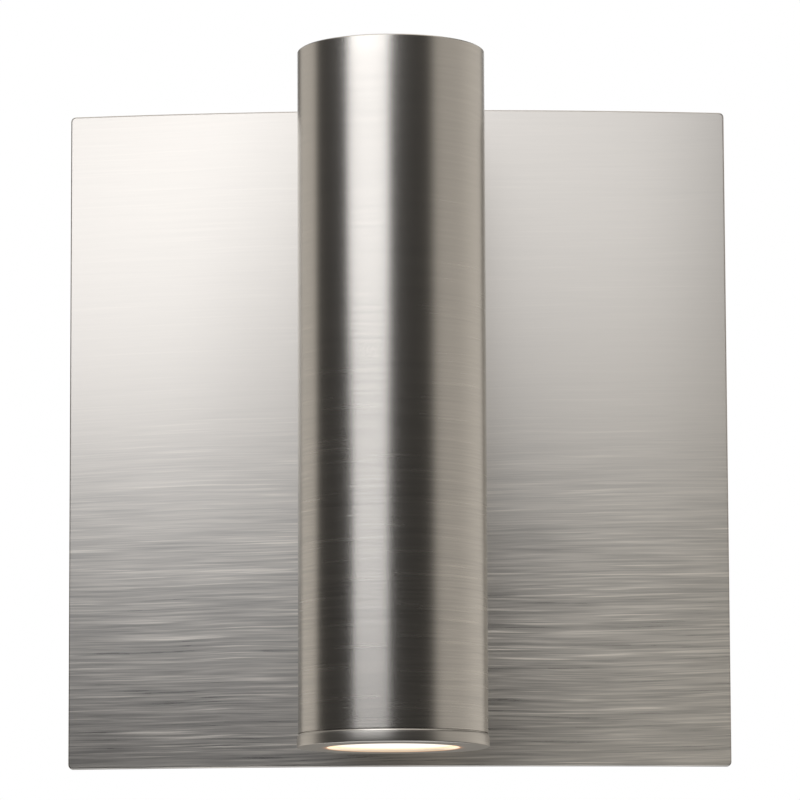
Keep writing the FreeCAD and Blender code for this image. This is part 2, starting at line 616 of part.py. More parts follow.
# --- Inner bracket: an upright strip, one flange on the heat sink, one at the cap ---
sink_spots = [(across, "tube_axis") for across in ("-sink_screw_across", "sink_screw_across")]
lug_heights = ["case_low - lug_height / 2", "case_low + case_height + lug_height / 2"]
bracket_bars = [box(("-bracket_width / 2", "bracket_face", "sink_top"),
                    ("bracket_width", "bracket_thick", "cap_under - sink_top"))]
bracket_bars += [box(("-bracket_width / 2", "saddle_face - bracket_reach", low),
                     ("bracket_width", "bracket_reach", "bracket_thick"))
                 for low in ("sink_top", "cap_under - bracket_thick")]
bracket_holes = [cylinder("plate_hole", "2 * bracket_thick",
                          ("0", "saddle_face + bracket_thick / 2", "0"), FRONT)]
bracket_holes += [cylinder(small_hole, "2 * bracket_thick", (across, line, "sink_top"))
                  for across, line in sink_spots]
bracket_holes += [cylinder("screw_radius", "bracket_thick", (across, line, "cap_under - bracket_thick"))
                  for across, line in cap_spots]
bracket_holes += [cylinder("screw_radius", "2 * bracket_thick",
                           ("0", "saddle_face + bracket_thick / 2", height), FRONT)
                  for height in lug_heights]
part("inner_bracket", cut(fuse(*bracket_bars), *bracket_holes))
saddle = common(
    box(("-spacer_side / 2", "saddle_face", "-spacer_side / 2"),
        ("spacer_side", "spacer_thick", "spacer_side")),
    cylinder("tube_inner", "spacer_side", ("0", "tube_axis", "-spacer_side / 2")))
part("saddle_spacer", cut(saddle, cylinder("plate_hole", "2 * spacer_thick",
                                           ("0", "saddle_face + 1.5 * spacer_thick", "0"), FRONT)))

# --- Heat sink: a base with radial fins round a post ------------------------------
sink = doc.addObject("PartDesign::Body", "HeatSink")
core = sink.newObject("PartDesign::Revolution", "Core")
core.Profile = outline(sink, "XZ_Plane", [
    ("0", "sink_face"), ("sink_radius", "sink_face"), ("sink_radius", "sink_face + sink_base"),
    ("sink_post", "sink_face + sink_base"), ("sink_post", "sink_top"), ("0", "sink_top")])
core.ReferenceAxis = (core.Profile[0], ["V_Axis"])
core.Angle = 360
fin = sink.newObject("PartDesign::Pad", "Fin")
fin.Profile = outline(sink, "XZ_Plane", [
    ("sink_post - fin_root", "sink_face + sink_base - fin_root"),
    ("sink_radius - fin_margin", "sink_face + sink_base - fin_root"),
    ("sink_radius - fin_margin", "sink_top - fin_drop"), ("sink_post - fin_root", "sink_top - fin_drop")])
fin.SideType = "Symmetric"
fin.setExpression("Length", full("fin_thick"))
fins = sink.newObject("PartDesign::PolarPattern", "Fins")
fins.Originals = [fin]
fins.Axis = ([feature for feature in sink.Origin.OriginFeatures if feature.Role == "Z_Axis"][0], [""])
fins.Angle = 360
fins.setExpression("Occurrences", full("fin_count"))
sink.Tip = fins
place(sink, TUBE)
led_lead_spots = [("-led_lead_side", "led_lead_line"), ("led_lead_side", "led_lead_line")]
holder_spots = [(across, "tube_axis") for across in ("-holder_screw_across", "holder_screw_across")]
sink_holes = [cylinder("lead_radius + hole_clearance", "sink_base", (across, line, "sink_face"))
              for across, line in led_lead_spots]
sink_holes += [cylinder("screw_radius", "sink_screw_reach", (across, line, "sink_top - sink_screw_reach"))
               for across, line in sink_spots]
sink_holes += [cylinder("screw_radius", "sink_base * 0.8", (across, line, "sink_face"))
               for across, line in holder_spots]
part("heat_sink", cut(sink, *sink_holes))
part("sink_screws", together([
    screw("screw_radius", "sink_screw_reach", "sink_screw_head", "head_height",
          (across, line, "sink_top + bracket_thick"), UP)
    for across, line in sink_spots]))

# --- Light source: pad, board, emitting disc, holder and reflector -----------------
part("thermal_pad", centred_box(("0", "tube_axis", "sink_face - pad_thick / 2"),
                                ("pad_side", "pad_side", "pad_thick")))
part("led_board", centred_box(("0", "tube_axis", "pad_low - board_thick / 2"),
                              ("board_side", "board_side", "board_thick")))
part("led_emitter", cylinder("emitter_radius", "emitter_thick",
                             ("0", "tube_axis", "board_low - emitter_thick")))
holder_inner = "emitter_radius + emitter_clearance"
holder = lathe([(holder_inner, "holder_low"), ("holder_radius", "holder_low"),
                ("holder_radius", "sink_face"), (holder_inner, "sink_face")], TUBE)
pockets = [centred_box(("0", "tube_axis", "%s - %s / 2" % (top, thick)),
                       ("%s + 2 * board_clearance" % side, "%s + 2 * board_clearance" % side, thick))
           for side, thick, top in (("pad_side", "pad_thick", "sink_face"),
                                    ("board_side", "board_thick", "pad_low"))]
pockets += [cylinder(small_hole, "holder_height", (across, line, "holder_low"))
            for across, line in holder_spots]
part("led_holder", cut(holder, *pockets))
part("holder_screws", together([
    screw("screw_radius", "holder_height + sink_base * 0.7", "screw_head", "head_height",
          (across, line, "holder_low"), DOWN)
    for across, line in holder_spots]))
lip = "gasket_top + gasket_gap"
part("reflector", lathe([
    ("reflector_throat", "holder_low"), ("reflector_throat + 1.6 * reflector_wall", "holder_low"),
    ("reflector_throat + 1.6 * reflector_wall", "holder_low - 1.2 * reflector_wall"),
    ("reflector_mouth + reflector_wall", "%s + 1.5 * reflector_wall" % lip),
    ("reflector_lip", "%s + reflector_wall" % lip), ("reflector_lip", lip), ("reflector_mouth", lip),
], TUBE))

# --- Bezel ring with its threaded skirt, lens and gasket ---------------------------
skirt = "tube_inner - thread_clearance"
skirt_top = "bezel_low + bezel_height + thread_height"
seat = "lens_outer / 2 + lens_clearance"
part("bezel_ring", lathe([
    ("bezel_opening / 2", "bezel_low + bezel_ledge"),
    ("bezel_opening / 2", "bezel_low + bezel_chamfer * 0.6"),
    ("bezel_opening / 2 + bezel_chamfer * 0.6", "bezel_low"),
    ("bezel_outer / 2 - bezel_chamfer", "bezel_low"),
    ("bezel_outer / 2", "bezel_low + bezel_chamfer"),
    ("bezel_outer / 2", "bezel_low + bezel_height - bezel_chamfer"),
    ("bezel_outer / 2 - bezel_chamfer", "bezel_low + bezel_height"),
    (skirt, "bezel_low + bezel_height"), (skirt, "%s - bezel_chamfer" % skirt_top),
    ("%s - bezel_chamfer" % skirt, skirt_top), ("%s - thread_wall" % skirt, skirt_top),
    ("%s - thread_wall" % skirt, "lens_top + bezel_chamfer"), (seat, "lens_top - bezel_chamfer"),
    (seat, "bezel_low + bezel_ledge"),
], TUBE))
part("lens", lathe([
    ("0", "lens_low"), ("lens_outer / 2 - lens_edge", "lens_low"),
    ("lens_outer / 2", "lens_low + lens_edge"), ("lens_outer / 2", "lens_top"), ("0", "lens_top"),
], TUBE))
part("lens_gasket", lathe([
    ("lens_outer / 2 - gasket_wall", "lens_top"), ("lens_outer / 2", "lens_top"),
    ("lens_outer / 2", "gasket_top"), ("lens_outer / 2 - gasket_wall", "gasket_top")], TUBE))

# --- Driver: a case open towards the bracket, and the board inside it ---------------
case_outer = centred_box(("0", "bracket_face - case_depth / 2", "case_low + case_height / 2"),
                         ("case_width", "case_depth", "case_height"))
case_room = centred_box(
    ("0", "bracket_face - (case_depth - case_wall) / 2", "case_low + case_height / 2"),
    ("case_width - 2 * case_wall", "case_depth - case_wall", "case_height - 2 * case_wall"))
lugs = [centred_box(("0", "bracket_face - lug_thick / 2", height),
                    ("lug_width", "lug_thick", "lug_height")) for height in lug_heights]
lug_holes = [cylinder(small_hole, "lug_thick", ("0", "bracket_face", height), FRONT)
             for height in lug_heights]
part("driver_case", cut(fuse(case_outer, *lugs), case_room, *lug_holes))
part("case_screws", together([
    screw("screw_radius", "lug_thick + bracket_thick", "screw_head", "head_height",
          ("0", "bracket_face - lug_thick", height), FRONT) for height in lug_heights]))
standoff_face = "bracket_face - standoff_height"
part("driver_standoffs", together([
    cylinder("standoff_radius", "standoff_height", ("0", standoff_face, height), BACK)
    for height in ("case_low + standoff_inset", "case_low + case_height - standoff_inset")]))
part("driver_board", box(
    ("-driver_width / 2", "%s - driver_sheet" % standoff_face, "case_low + driver_margin"),
    ("driver_width", "driver_sheet", "case_height - 2 * driver_margin")))
board_front = "%s - driver_sheet" % standoff_face


def board_block(across, height, width, deep, tall):
    """A square component that stands on the driver's board, in shares of the case's sizes."""
    return centred_box(("%s * driver_width" % across, "%s - %s * case_depth / 2" % (board_front, deep),
                        "case_low + %s * case_height" % height),
                       ("%s * driver_width" % width, "%s * case_depth" % deep, "%s * case_height" % tall))


def board_can(across, height, radius, deep):
    """A round component that stands on the driver's board, in shares of the case's sizes."""
    return cylinder("%s * driver_width" % radius, "%s * case_depth" % deep,
                    ("%s * driver_width" % across, board_front, "case_low + %s * case_height" % height), FRONT)


part("driver_parts", together([
    board_block("-0.12", "0.55", "0.6", "0.5", "0.26"), board_block("-0.24", "0.21", "0.32", "0.36", "0.16"),
    board_can("0.3", "0.23", "0.144", "0.57"), board_can("0.28", "0.78", "0.16", "0.54")]))

# --- Leads: supply pair from the terminal block through the nipple to the driver,
#     light pair from the driver down to the light source, earth lead in the pan ----
for label, side, height in (("lead_live", "lead_step", pole_heights[0]),
                            ("lead_neutral", "-lead_step", pole_heights[1])):
    part(label, lead([
        ("block_side", "wire_line", height),
        ("block_side - lead_straight", "wire_line", "%s + lead_radius" % height),
        ("%s + lead_below * 0.9" % side, "lead_turn", "-lead_below"),
        (side, "lead_turn", "0"),
        (side, "nipple_front - lead_before", "0"),
        (side, "nipple_front - lead_before", "case_low"),
    ], ("8.8 * lead_radius", "7.7 * lead_radius", "3.3 * lead_radius", "8.8 * lead_radius")))
for label, side, spot in (("led_lead_minus", "-led_lead_across", led_lead_spots[0]),
                          ("led_lead_plus", "led_lead_across", led_lead_spots[1])):
    part(label, lead([
        (side, "nipple_front - led_lead_before", "case_low"),
        (side, "nipple_front - led_lead_before", "case_low - led_lead_drop"),
        spot + ("-case_low",),
        spot + ("sink_face",),
    ], ("22 * lead_radius", "26 * lead_radius")))
eye = ("0", "web_face + bow_lift", "-tag_down")
tag = fuse(
    cylinder("tag_radius", "tag_thick", eye, BACK),
    centred_box(("tag_neck", "web_face + tag_thick / 2 + 3 * bow_lift", "-tag_down"),
                ("tag_neck / 2", "tag_thick", "1.7 * tag_barrel")),
    cylinder("tag_barrel", "barrel_length", ("tag_neck", "barrel_line", "-tag_down"), RIGHT))
part("earth_tag", cut(tag, cylinder(small_hole, "2 * tag_thick", eye, BACK)))
part("earth_screw", screw("screw_radius", "tag_thick + pan_thick", "screw_head", "head_height",
                          ("0", "web_face + bow_lift + tag_thick", "-tag_down"), BACK))
part("lead_earth", lead([
    ("block_side", "wire_line", pole_heights[2]),
    ("block_side - lead_straight", "wire_line", pole_heights[2]),
    ("tag_neck + 2 * barrel_length", "barrel_line", "-tag_down"),
    ("tag_neck + barrel_length", "barrel_line", "-tag_down"),
], ("7.7 * lead_radius", "4.4 * lead_radius")))

doc.recompute()
failed = [item.Name for item in doc.Objects
          if "Invalid" in item.State or "Error" in item.State]
for label, item in parts.items():
    shape = item.Shape
    if shape.isNull() or not shape.isValid() or not shape.Solids or shape.Volume <= 0:
        failed.append(label)
    print("%-18s solids %d  volume %10.2f mm3  box %s" % (
        label, len(shape.Solids), shape.Volume,
        " ".join("%.2f" % edge for edge in (
            shape.BoundBox.XMin, shape.BoundBox.XMax, shape.BoundBox.YMin,
            shape.BoundBox.YMax, shape.BoundBox.ZMin, shape.BoundBox.ZMax))))
if failed:
    raise SystemExit("failed: " + ", ".join(failed))
os.makedirs("parts", exist_ok=True)
for label, item in parts.items():
    item.Shape.exportStep("parts/%s.step" % label)
print("%d parts written" % len(parts))
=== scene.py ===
"""Looks and studio of the tube wall light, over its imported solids.

Metres. +Z is up, +Y goes into the wall, and the light's front faces -Y.
"""
from dataclasses import dataclass
from enum import Enum
import logging
import math
from typing import Callable

import bpy
from mathutils import Matrix, Vector


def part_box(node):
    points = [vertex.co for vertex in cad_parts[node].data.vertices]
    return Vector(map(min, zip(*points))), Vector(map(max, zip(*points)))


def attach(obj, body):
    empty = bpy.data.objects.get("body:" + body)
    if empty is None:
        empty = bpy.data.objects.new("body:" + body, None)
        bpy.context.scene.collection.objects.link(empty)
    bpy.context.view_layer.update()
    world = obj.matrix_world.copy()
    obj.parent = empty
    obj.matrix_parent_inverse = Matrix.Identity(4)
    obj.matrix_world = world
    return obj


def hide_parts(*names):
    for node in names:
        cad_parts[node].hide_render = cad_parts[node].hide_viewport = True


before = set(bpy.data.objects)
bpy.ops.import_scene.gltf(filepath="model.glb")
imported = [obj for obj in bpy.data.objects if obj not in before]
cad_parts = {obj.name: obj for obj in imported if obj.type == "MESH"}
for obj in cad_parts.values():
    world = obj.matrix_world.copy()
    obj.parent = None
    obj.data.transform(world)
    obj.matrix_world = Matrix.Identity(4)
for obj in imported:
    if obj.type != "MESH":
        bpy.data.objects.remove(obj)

LOG = logging.getLogger("tube_wall_light")
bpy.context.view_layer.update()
MM = 0.001
Piece = bpy.types.Object


def lowest(node: str) -> Vector:
    """The lowest corner of a solid's box."""
    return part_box(node)[0]


def highest(node: str) -> Vector:
    """The highest corner of a solid's box."""
    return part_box(node)[1]


TUBE_LINE = (0.0, (lowest("tube_body").y + highest("tube_body").y) / 2, 0.0)


# ---- Shader arithmetic ---------------------------------
def math_node(operation: str, swapped: bool = False) -> Callable:
    """Make a method of Signal that is one Math node.

    Args:
        operation: The node's operation.
        swapped: Whether the Signal goes in last, after what the method is given.

    Returns:
        The method.
    """
    def method(self: "Signal", *others: "Signal | float") -> "Signal":
        """The node's result."""
        values = (*others, self) if swapped else (self, *others)
        return self.tree.node("ShaderNodeMath", {"operation": operation}, dict(enumerate(values)))
    return method


class Signal:
    """A shader socket that takes part in Python arithmetic. Its angles are in radians."""

    def __init__(self, tree: "ShaderTree", socket: bpy.types.NodeSocket) -> None:
        """Keep the tree that new nodes go into, and the socket."""
        self.tree = tree
        self.socket = socket

    __add__ = math_node("ADD")
    __radd__ = math_node("ADD", swapped=True)
    __sub__ = math_node("SUBTRACT")
    __rsub__ = math_node("SUBTRACT", swapped=True)
    __mul__ = math_node("MULTIPLY")
    __rmul__ = math_node("MULTIPLY", swapped=True)
    __truediv__ = math_node("DIVIDE")
    __pow__ = math_node("POWER")
    __abs__ = math_node("ABSOLUTE")
    sine = math_node("SINE")
    arcsine = math_node("ARCSINE")
    angle_over = math_node("ARCTAN2")

    def __neg__(self) -> "Signal":
        """The value with its sign turned."""
        return self * -1.0

    def clamped(self) -> "Signal":
        """The value kept between 0 and 1."""
        settings = {"operation": "ADD", "use_clamp": True}
        return self.tree.node("ShaderNodeMath", settings, {0: self, 1: 0.0})

    def rise(self, low: float, high: float) -> "Signal":
        """A smooth step from 0 at low to 1 at high, turned over where high is the lesser."""
        start, end, out = (low, high, (0.0, 1.0)) if high >= low else (high, low, (1.0, 0.0))
        return self.tree.node(
            "ShaderNodeMapRange", {"interpolation_type": "SMOOTHSTEP"},
            {"Value": self, "From Min": start, "From Max": end, "To Min": out[0], "To Max": out[1]})

    def window(self, low: float, high: float, soft: float) -> "Signal":
        """1 between two values and 0 outside them, with edges that wide."""
        half = soft / 2
        return self.rise(low - half, low + half) * self.rise(high + half, high - half)


class ShaderTree:
    """One material's or world's nodes."""

    def __init__(self, owner: "bpy.types.Material | bpy.types.World") -> None:
        """Start an empty tree.

        Args:
            owner: The material or world that gets the nodes.
        """
        owner.use_nodes = True
        self.nodes = owner.node_tree.nodes
        self.links = owner.node_tree.links
        self.nodes.clear()

    def node(self, kind: str, settings: "dict | None" = None, inputs: "dict | None" = None,
             output: "int | str" = 0) -> Signal:
        """Add any node.

        Args:
            kind: The node's type.
            settings: Its properties, set first.
            inputs: Its sockets by name or place, each a Signal, a number or a tuple.
            output: Which of its outputs to hand back.

        Returns:
            The chosen output.
        """
        made = self.nodes.new(kind)
        for name, value in (settings or {}).items():
            setattr(made, name, value)
        for name, value in (inputs or {}).items():
            socket = made.inputs[name]
            if isinstance(value, Signal):
                self.links.new(value.socket, socket)
            elif isinstance(value, tuple):
                room = len(socket.default_value)
                socket.default_value = value + (1.0,) * (room - len(value))
            else:
                socket.default_value = value
        return Signal(self, made.outputs[output] if made.outputs else None)

    def ramp(self, place: Signal, *stops: tuple) -> Signal:
        """A colour ramp.

        Args:
            place: Where on the ramp, from 0 to 1.
            stops: Its stops, each a place and a colour.

        Returns:
            The colour there.
        """
        there = self.node("ShaderNodeValToRGB", None, {0: place.clamped()}, "Color")
        elements = there.socket.node.color_ramp.elements
        while len(elements) < len(stops):
            elements.new(0.5)
        for element, (position, colour) in zip(elements, stops):
            element.position, element.color = position, (*colour, 1.0)
        return there

    def place(self, scale: tuple = (1.0, 1.0, 1.0)) -> Signal:
        """Object coordinates, each axis multiplied by its scale."""
        where = self.node("ShaderNodeTexCoord", output="Object")
        return self.node("ShaderNodeVectorMath", {"operation": "MULTIPLY"}, {0: where, 1: scale})

    def axes(self, vector: Signal) -> "list[Signal]":
        """A vector's three parts."""
        return [self.node("ShaderNodeSeparateXYZ", None, {0: vector}, axis) for axis in "XYZ"]

    def join(self, *parts: "Signal | float") -> Signal:
        """A vector from three parts."""
        return self.node("ShaderNodeCombineXYZ", None, dict(enumerate(parts)))

    def radius(self) -> Signal:
        """The distance from the tube's axis."""
        across, deep, _ = self.axes(self.place())
        deep = deep - TUBE_LINE[1]
        return (across * across + deep * deep) ** 0.5

    def noise(self, vector: Signal, scale: float = 1.0, detail: float = 2.0,
              roughness: float = 0.5) -> Signal:
        """A noise value from 0 to 1."""
        return self.node("ShaderNodeTexNoise", {"noise_dimensions": "3D", "normalize": True},
                         {"Vector": vector, "Scale": scale, "Detail": detail,
                          "Roughness": roughness}, "Fac")

    def cloud(self, scale: float, detail: float = 3.0, roughness: float = 0.5) -> Signal:
        """Even noise over the piece, from -0.5 to 0.5."""
        return self.noise(self.place(), scale, detail, roughness) - 0.5

    def cells(self, scale: float, distance: str = "EUCLIDEAN") -> Signal:
        """How far the nearest point of a cell pattern is."""
        return self.node("ShaderNodeTexVoronoi", {"feature": "F1", "distance": distance},
                         {"Vector": self.place(), "Scale": scale}, "Distance")

    def rays(self, *kinds: str) -> "list[Signal]":
        """For each kind of ray, 1 where the ray is of that kind."""
        return [self.node("ShaderNodeLightPath", output=f"Is {kind} Ray") for kind in kinds]

    def colours(self, mask: Signal, first: "tuple | Signal", second: "tuple | Signal") -> Signal:
        """A colour between two, by a mask."""
        return self.node("ShaderNodeMix", {"data_type": "RGBA"}, {0: mask, 6: first, 7: second}, 2)

    def bump(self, height: Signal, depth: float) -> Signal:
        """A normal from a height of 0 to 1 and how deep it is, in metres."""
        return self.node("ShaderNodeBump", None, {"Height": height, "Distance": depth})

    def surface(self, inputs: dict) -> Signal:
        """A Principled shader with the given sockets."""
        return self.node("ShaderNodeBsdfPrincipled", None, inputs)

    def finish(self, shader: Signal, kind: str = "ShaderNodeOutputMaterial") -> None:
        """Put the shader on the output."""
        self.node(kind, None, {"Surface": shader})


# ---- Finishes ------------------------------------------
class Grain(Enum):
    """Which axis the scratches of a brushed surface are stacked along."""

    LEVEL = (0.0, 0.0, 1.0)
    ROUND_ARM = (0.0, 1.0, 0.0)


@dataclass(frozen=True)
class Finish:
    """A surface finish.

    Attributes:
        name: The material's name.
        colour: Its main colour.
        roughness: Its middle roughness.
    """

    name: str
    colour: tuple
    roughness: float = 0.4

    def tones(self, tree: ShaderTree, mask: Signal, dark: float = 0.88, light: float = 1.08) -> Signal:
        """The main colour, darker and lighter by a mask."""
        return tree.colours(mask.clamped(), tuple(part * dark for part in self.colour),
                            tuple(min(part * light, 1.0) for part in self.colour))

    def shade(self, tree: ShaderTree) -> Signal:
        """Build the shader.

        Args:
            tree: The material's nodes.

        Returns:
            The shader.
        """
        raise NotImplementedError

    def make(self) -> bpy.types.Material:
        """Make the material.

        Returns:
            The finished material.
        """
        material = bpy.data.materials.new(self.name)
        tree = ShaderTree(material)
        tree.finish(self.shade(tree))
        return material


# Layers of scratches: how fine and how long each is, to the finish's own, and its weight.
SCRATCH_LAYERS = ((2.2, 0.7, 0.95), (0.9, 1.0, 0.6), (0.25, 1.4, 0.4))


@dataclass(frozen=True)
class BrushedMetal(Finish):
    """Hand-brushed metal: long fine scratches that wander a little and overlap.

    Attributes:
        stretch: How much the gloss is drawn out across the scratches.
        grain: Which axis the scratches are stacked along.
        pitch: How many scratches there are to a metre.
        length: How long a scratch is, in metres.
        slant: How much a scratch climbs to the right.
        depth: How deep the scratches are, in metres.
        gloss: How much the scratches vary the gloss.
        painted_streaks: How much the scratches vary the tone, as painted highlight and shade.
        painted_shade_tone: The darkest tone: painted shade between the scratches.
        painted_highlight_tone: The lightest tone: a painted highlight on a scratch that catches the
            light.
        even: How strong the scratches are at the first height of coarse.
        coarse: The height where the scratches are at that strength, and where they are at full
            strength.
    """

    stretch: float = 0.3
    grain: Grain = Grain.LEVEL
    pitch: float = 700.0
    length: float = 0.035
    slant: float = 0.0
    depth: float = 4e-6
    gloss: float = 0.1
    painted_streaks: float = 0.6
    painted_shade_tone: tuple = (0.37, 0.365, 0.355)
    painted_highlight_tone: tuple = (0.95, 0.905, 0.835)
    even: float = 1.0
    coarse: tuple = (0.1, -0.1)

    def scratches(self, tree: ShaderTree, pitch: float, length: float) -> Signal:
        """One layer of scratches, wandering by a slow wave of their own.

        Args:
            tree: The material's nodes.
            pitch: How many scratches there are to a metre.
            length: How long a scratch is.

        Returns:
            Their height, from 0 to 1.
        """
        scale = tuple(pitch if step else 1.0 / length for step in self.grain.value)
        wander = tree.cloud(10.0 + length * 60.0, 2.0) * (0.004 * pitch)
        if self.slant:
            wander = wander - tree.axes(tree.place())[0] * (self.slant * pitch)
        wave = tree.join(*(wander * step for step in self.grain.value))
        where = tree.node("ShaderNodeVectorMath", {"operation": "ADD"}, {0: tree.place(scale), 1: wave})
        return tree.noise(where, detail=2.0, roughness=0.6)

    def glow(self, tree: ShaderTree) -> dict:
        """Inputs that paint a glow on parts of the surface: none."""
        return {}

    def shade(self, tree: ShaderTree) -> Signal:
        """Scratches in height and gloss, and in tone as painted highlight and shade, over a faint cloud
        of handling.

        Args:
            tree: The material's nodes.

        Returns:
            The shader.
        """
        layers = sum((self.scratches(tree, self.pitch * fine, self.length * long) - 0.5) * weight
                     for fine, long, weight in SCRATCH_LAYERS)
        # Bright scratches: painted into the tone as glints, and also raising the bump and gloss.
        scratches_with_painted_glints = self.scratches(tree, self.pitch * 1.1, self.length * 1.3).rise(0.58, 0.72) - 0.12
        cloud = tree.cloud(13.0)
        height = tree.axes(tree.place())[2]
        force = self.even + (1.0 - self.even) * height.rise(*self.coarse)
        lines = (layers + scratches_with_painted_glints * 0.36 - 0.07) * force
        gloss = self.roughness + lines * self.gloss + cloud * 0.012
        # Base colour: the scratches paint highlight where they catch the light and shade between them.
        return tree.surface({
            "Base Color": tree.colours((lines * self.painted_streaks + cloud * 0.06 + 0.5).clamped(),
                                       self.painted_shade_tone, self.painted_highlight_tone),
            "Metallic": 1.0, "Roughness": gloss.clamped(),
            "Anisotropic": self.stretch, "Anisotropic Rotation": 0.25,
            "Normal": tree.bump(lines * 0.5 + 0.5, self.depth), **self.glow(tree)})


@dataclass(frozen=True)
class RingWithPaintedGlow(BrushedMetal):
    """Brushed ring whose inner lip has the lens's light painted on it as a warm glow.

    Attributes:
        opening: The radius that the ring leaves open.
        reach: How far the painted glow reaches, to that radius.
    """

    opening: float = 0.019
    reach: float = 0.2

    def glow(self, tree: ShaderTree) -> dict:
        """A painted warm glow on the lip, standing in for the lens's light, fading out over the lower
        face.

        Args:
            tree: The material's nodes.

        Returns:
            The sockets of the painted glow.
        """
        # Painted light: emission on the metal lip stands in for the lens's light falling on it.
        light = tree.ramp(
            (tree.radius() / self.opening - 1.0) / self.reach,
            (0.0, (0.62, 0.50, 0.37)), (0.04, (0.72, 0.35, 0.13)), (0.09, (0.26, 0.095, 0.026)),
            (0.22, (0.09, 0.03, 0.008)), (0.5, (0.0, 0.0, 0.0)))
        return {"Emission Color": light, "Emission Strength": 1.0}


@dataclass(frozen=True)
class SheetMetal(Finish):
    """Plated or rolled metal: soft mottled gloss, rolling lines, and a faint spangle.

    Attributes:
        spangle: How strong the spangle of the plating is.
        rolled: How many rolling lines there are to a metre.
    """

    spangle: float = 0.06
    rolled: float = 700.0

    def shade(self, tree: ShaderTree) -> Signal:
        """Rolling lines, cloud and spangle in tone and gloss.

        Args:
            tree: The material's nodes.

        Returns:
            The shader.
        """
        lines = tree.noise(tree.place((self.rolled, 30.0, 30.0))) - 0.5
        cloud = tree.cloud(70.0, 4.0, 0.65)
        flakes = tree.cells(380.0) - 0.4
        mask = cloud * 0.9 + flakes * (self.spangle * 8.0) + lines * 0.3 + 0.5
        gloss = self.roughness + cloud * 0.2 + flakes * self.spangle + lines * 0.08
        return tree.surface({
            "Base Color": self.tones(tree, mask, 0.84, 1.08), "Metallic": 1.0,
            "Roughness": gloss.clamped(),
            "Normal": tree.bump(lines * 0.4 + cloud * 0.6 + 0.5, 4e-6)})


@dataclass(frozen=True)
class TurnedMetal(Finish):
    """Metal faced on a lathe: fine rings round the tube's axis.

    Attributes:
        rings: How many rings there are to a metre.
    """

    rings: float = 1400.0

    def shade(self, tree: ShaderTree) -> Signal:
        """Rings by the distance from the axis, with slow changes of gloss.

        Args:
            tree: The material's nodes.

        Returns:
            The shader.
        """
        high = tree.axes(tree.place())[2]
        rings = tree.noise(tree.join(tree.radius() * self.rings, high * self.rings, 0.0)) - 0.5
        cloud = tree.cloud(60.0)
        return tree.surface({
            "Base Color": self.tones(tree, rings * 0.5 + cloud * 0.5 + 0.5, 0.93, 1.05),
            "Metallic": 1.0,
            "Roughness": (self.roughness + rings * 0.1 + cloud * 0.06).clamped(),
            "Normal": tree.bump(rings + 0.5, 4e-6)})


@dataclass(frozen=True)
class Moulded(Finish):
    """Moulded plastic or rubber with a fine pebble of the mould.

    Attributes:
        pebble: How many pebbles there are to a metre.
        depth: How deep the pebble is, in metres.
    """

    pebble: float = 1500.0
    depth: float = 1e-5

    def shade(self, tree: ShaderTree) -> Signal:
        """A fine pebble in height, with slow changes of tone and gloss.

        Args:
            tree: The material's nodes.

        Returns:
            The shader.
        """
        pebble = tree.cloud(self.pebble, 3.0, 0.6)
        cloud = tree.cloud(55.0)
        dust = tree.noise(tree.place(), 320.0, 4.0, 0.7).rise(0.60, 0.75)
        return tree.surface({
            "Base Color": self.tones(tree, cloud * 0.8 + pebble * 0.4 + dust * 0.25 + 0.45, 0.86, 1.1),
            "Roughness": (self.roughness + cloud * 0.14 + dust * 0.1).clamped(),
            "Normal": tree.bump(pebble + 0.5, self.depth)})


@dataclass(frozen=True)
class CircuitBoard(Finish):
    """Lacquered board with the shade of copper areas under its mask."""

    def shade(self, tree: ShaderTree) -> Signal:
        """Copper areas in blocks, glass weave in height.

        Args:
            tree: The material's nodes.

        Returns:
            The shader.
        """
        areas = tree.cells(210.0, "MANHATTAN").rise(0.42, 0.5)
        across, _, high = tree.axes(tree.place((3400.0, 1.0, 3400.0)))
        weave = (across.sine() * high.sine()) * 0.5 + 0.5
        return tree.surface({
            "Base Color": self.tones(tree, areas * 0.8 + weave * 0.2, 0.8, 1.5),
            "Roughness": self.roughness + weave * 0.08, "Coat Weight": 0.6,
            "Normal": tree.bump(weave * 0.3 + areas * 0.7, 8e-6)})


@dataclass(frozen=True)
class LitLens(Finish):
    """Frosted lens that glows: white in the middle, amber at the rim of the opening.

    Attributes:
        opening: The radius that the ring leaves open.
        glow: How strongly it glows.
        rings: How many fine rings there are over the opening.
    """

    opening: float = 0.019
    glow: float = 0.95
    rings: float = 14.0

    def shade(self, tree: ShaderTree) -> Signal:
        """Glow by the distance from the tube's axis, over a frosted skin.

        Args:
            tree: The material's nodes.

        Returns:
            The shader.
        """
        radius = tree.radius() / self.opening
        frost = tree.noise(tree.place(), 1100.0, 3.0)
        steps = (radius * (2 * math.pi * self.rings)).sine() * 0.5 + 0.5
        light = tree.ramp(
            radius + (frost - 0.5) * 0.06,
            (0.0, (1.0, 0.97, 0.90)), (0.45, (1.0, 0.95, 0.86)), (0.80, (1.0, 0.92, 0.78)),
            (0.92, (1.0, 0.84, 0.60)), (1.0, (0.95, 0.50, 0.20)))
        amber = tree.colours((steps * 0.16 + frost * 0.12).clamped(), light, (0.80, 0.62, 0.40))
        return tree.surface({
            "Base Color": self.tones(tree, frost, 0.94, 1.04), "Roughness": self.roughness,
            "Normal": tree.bump(frost * 0.7 + steps * 0.3, 1.5e-5),
            "Emission Color": amber, "Emission Strength": self.glow})


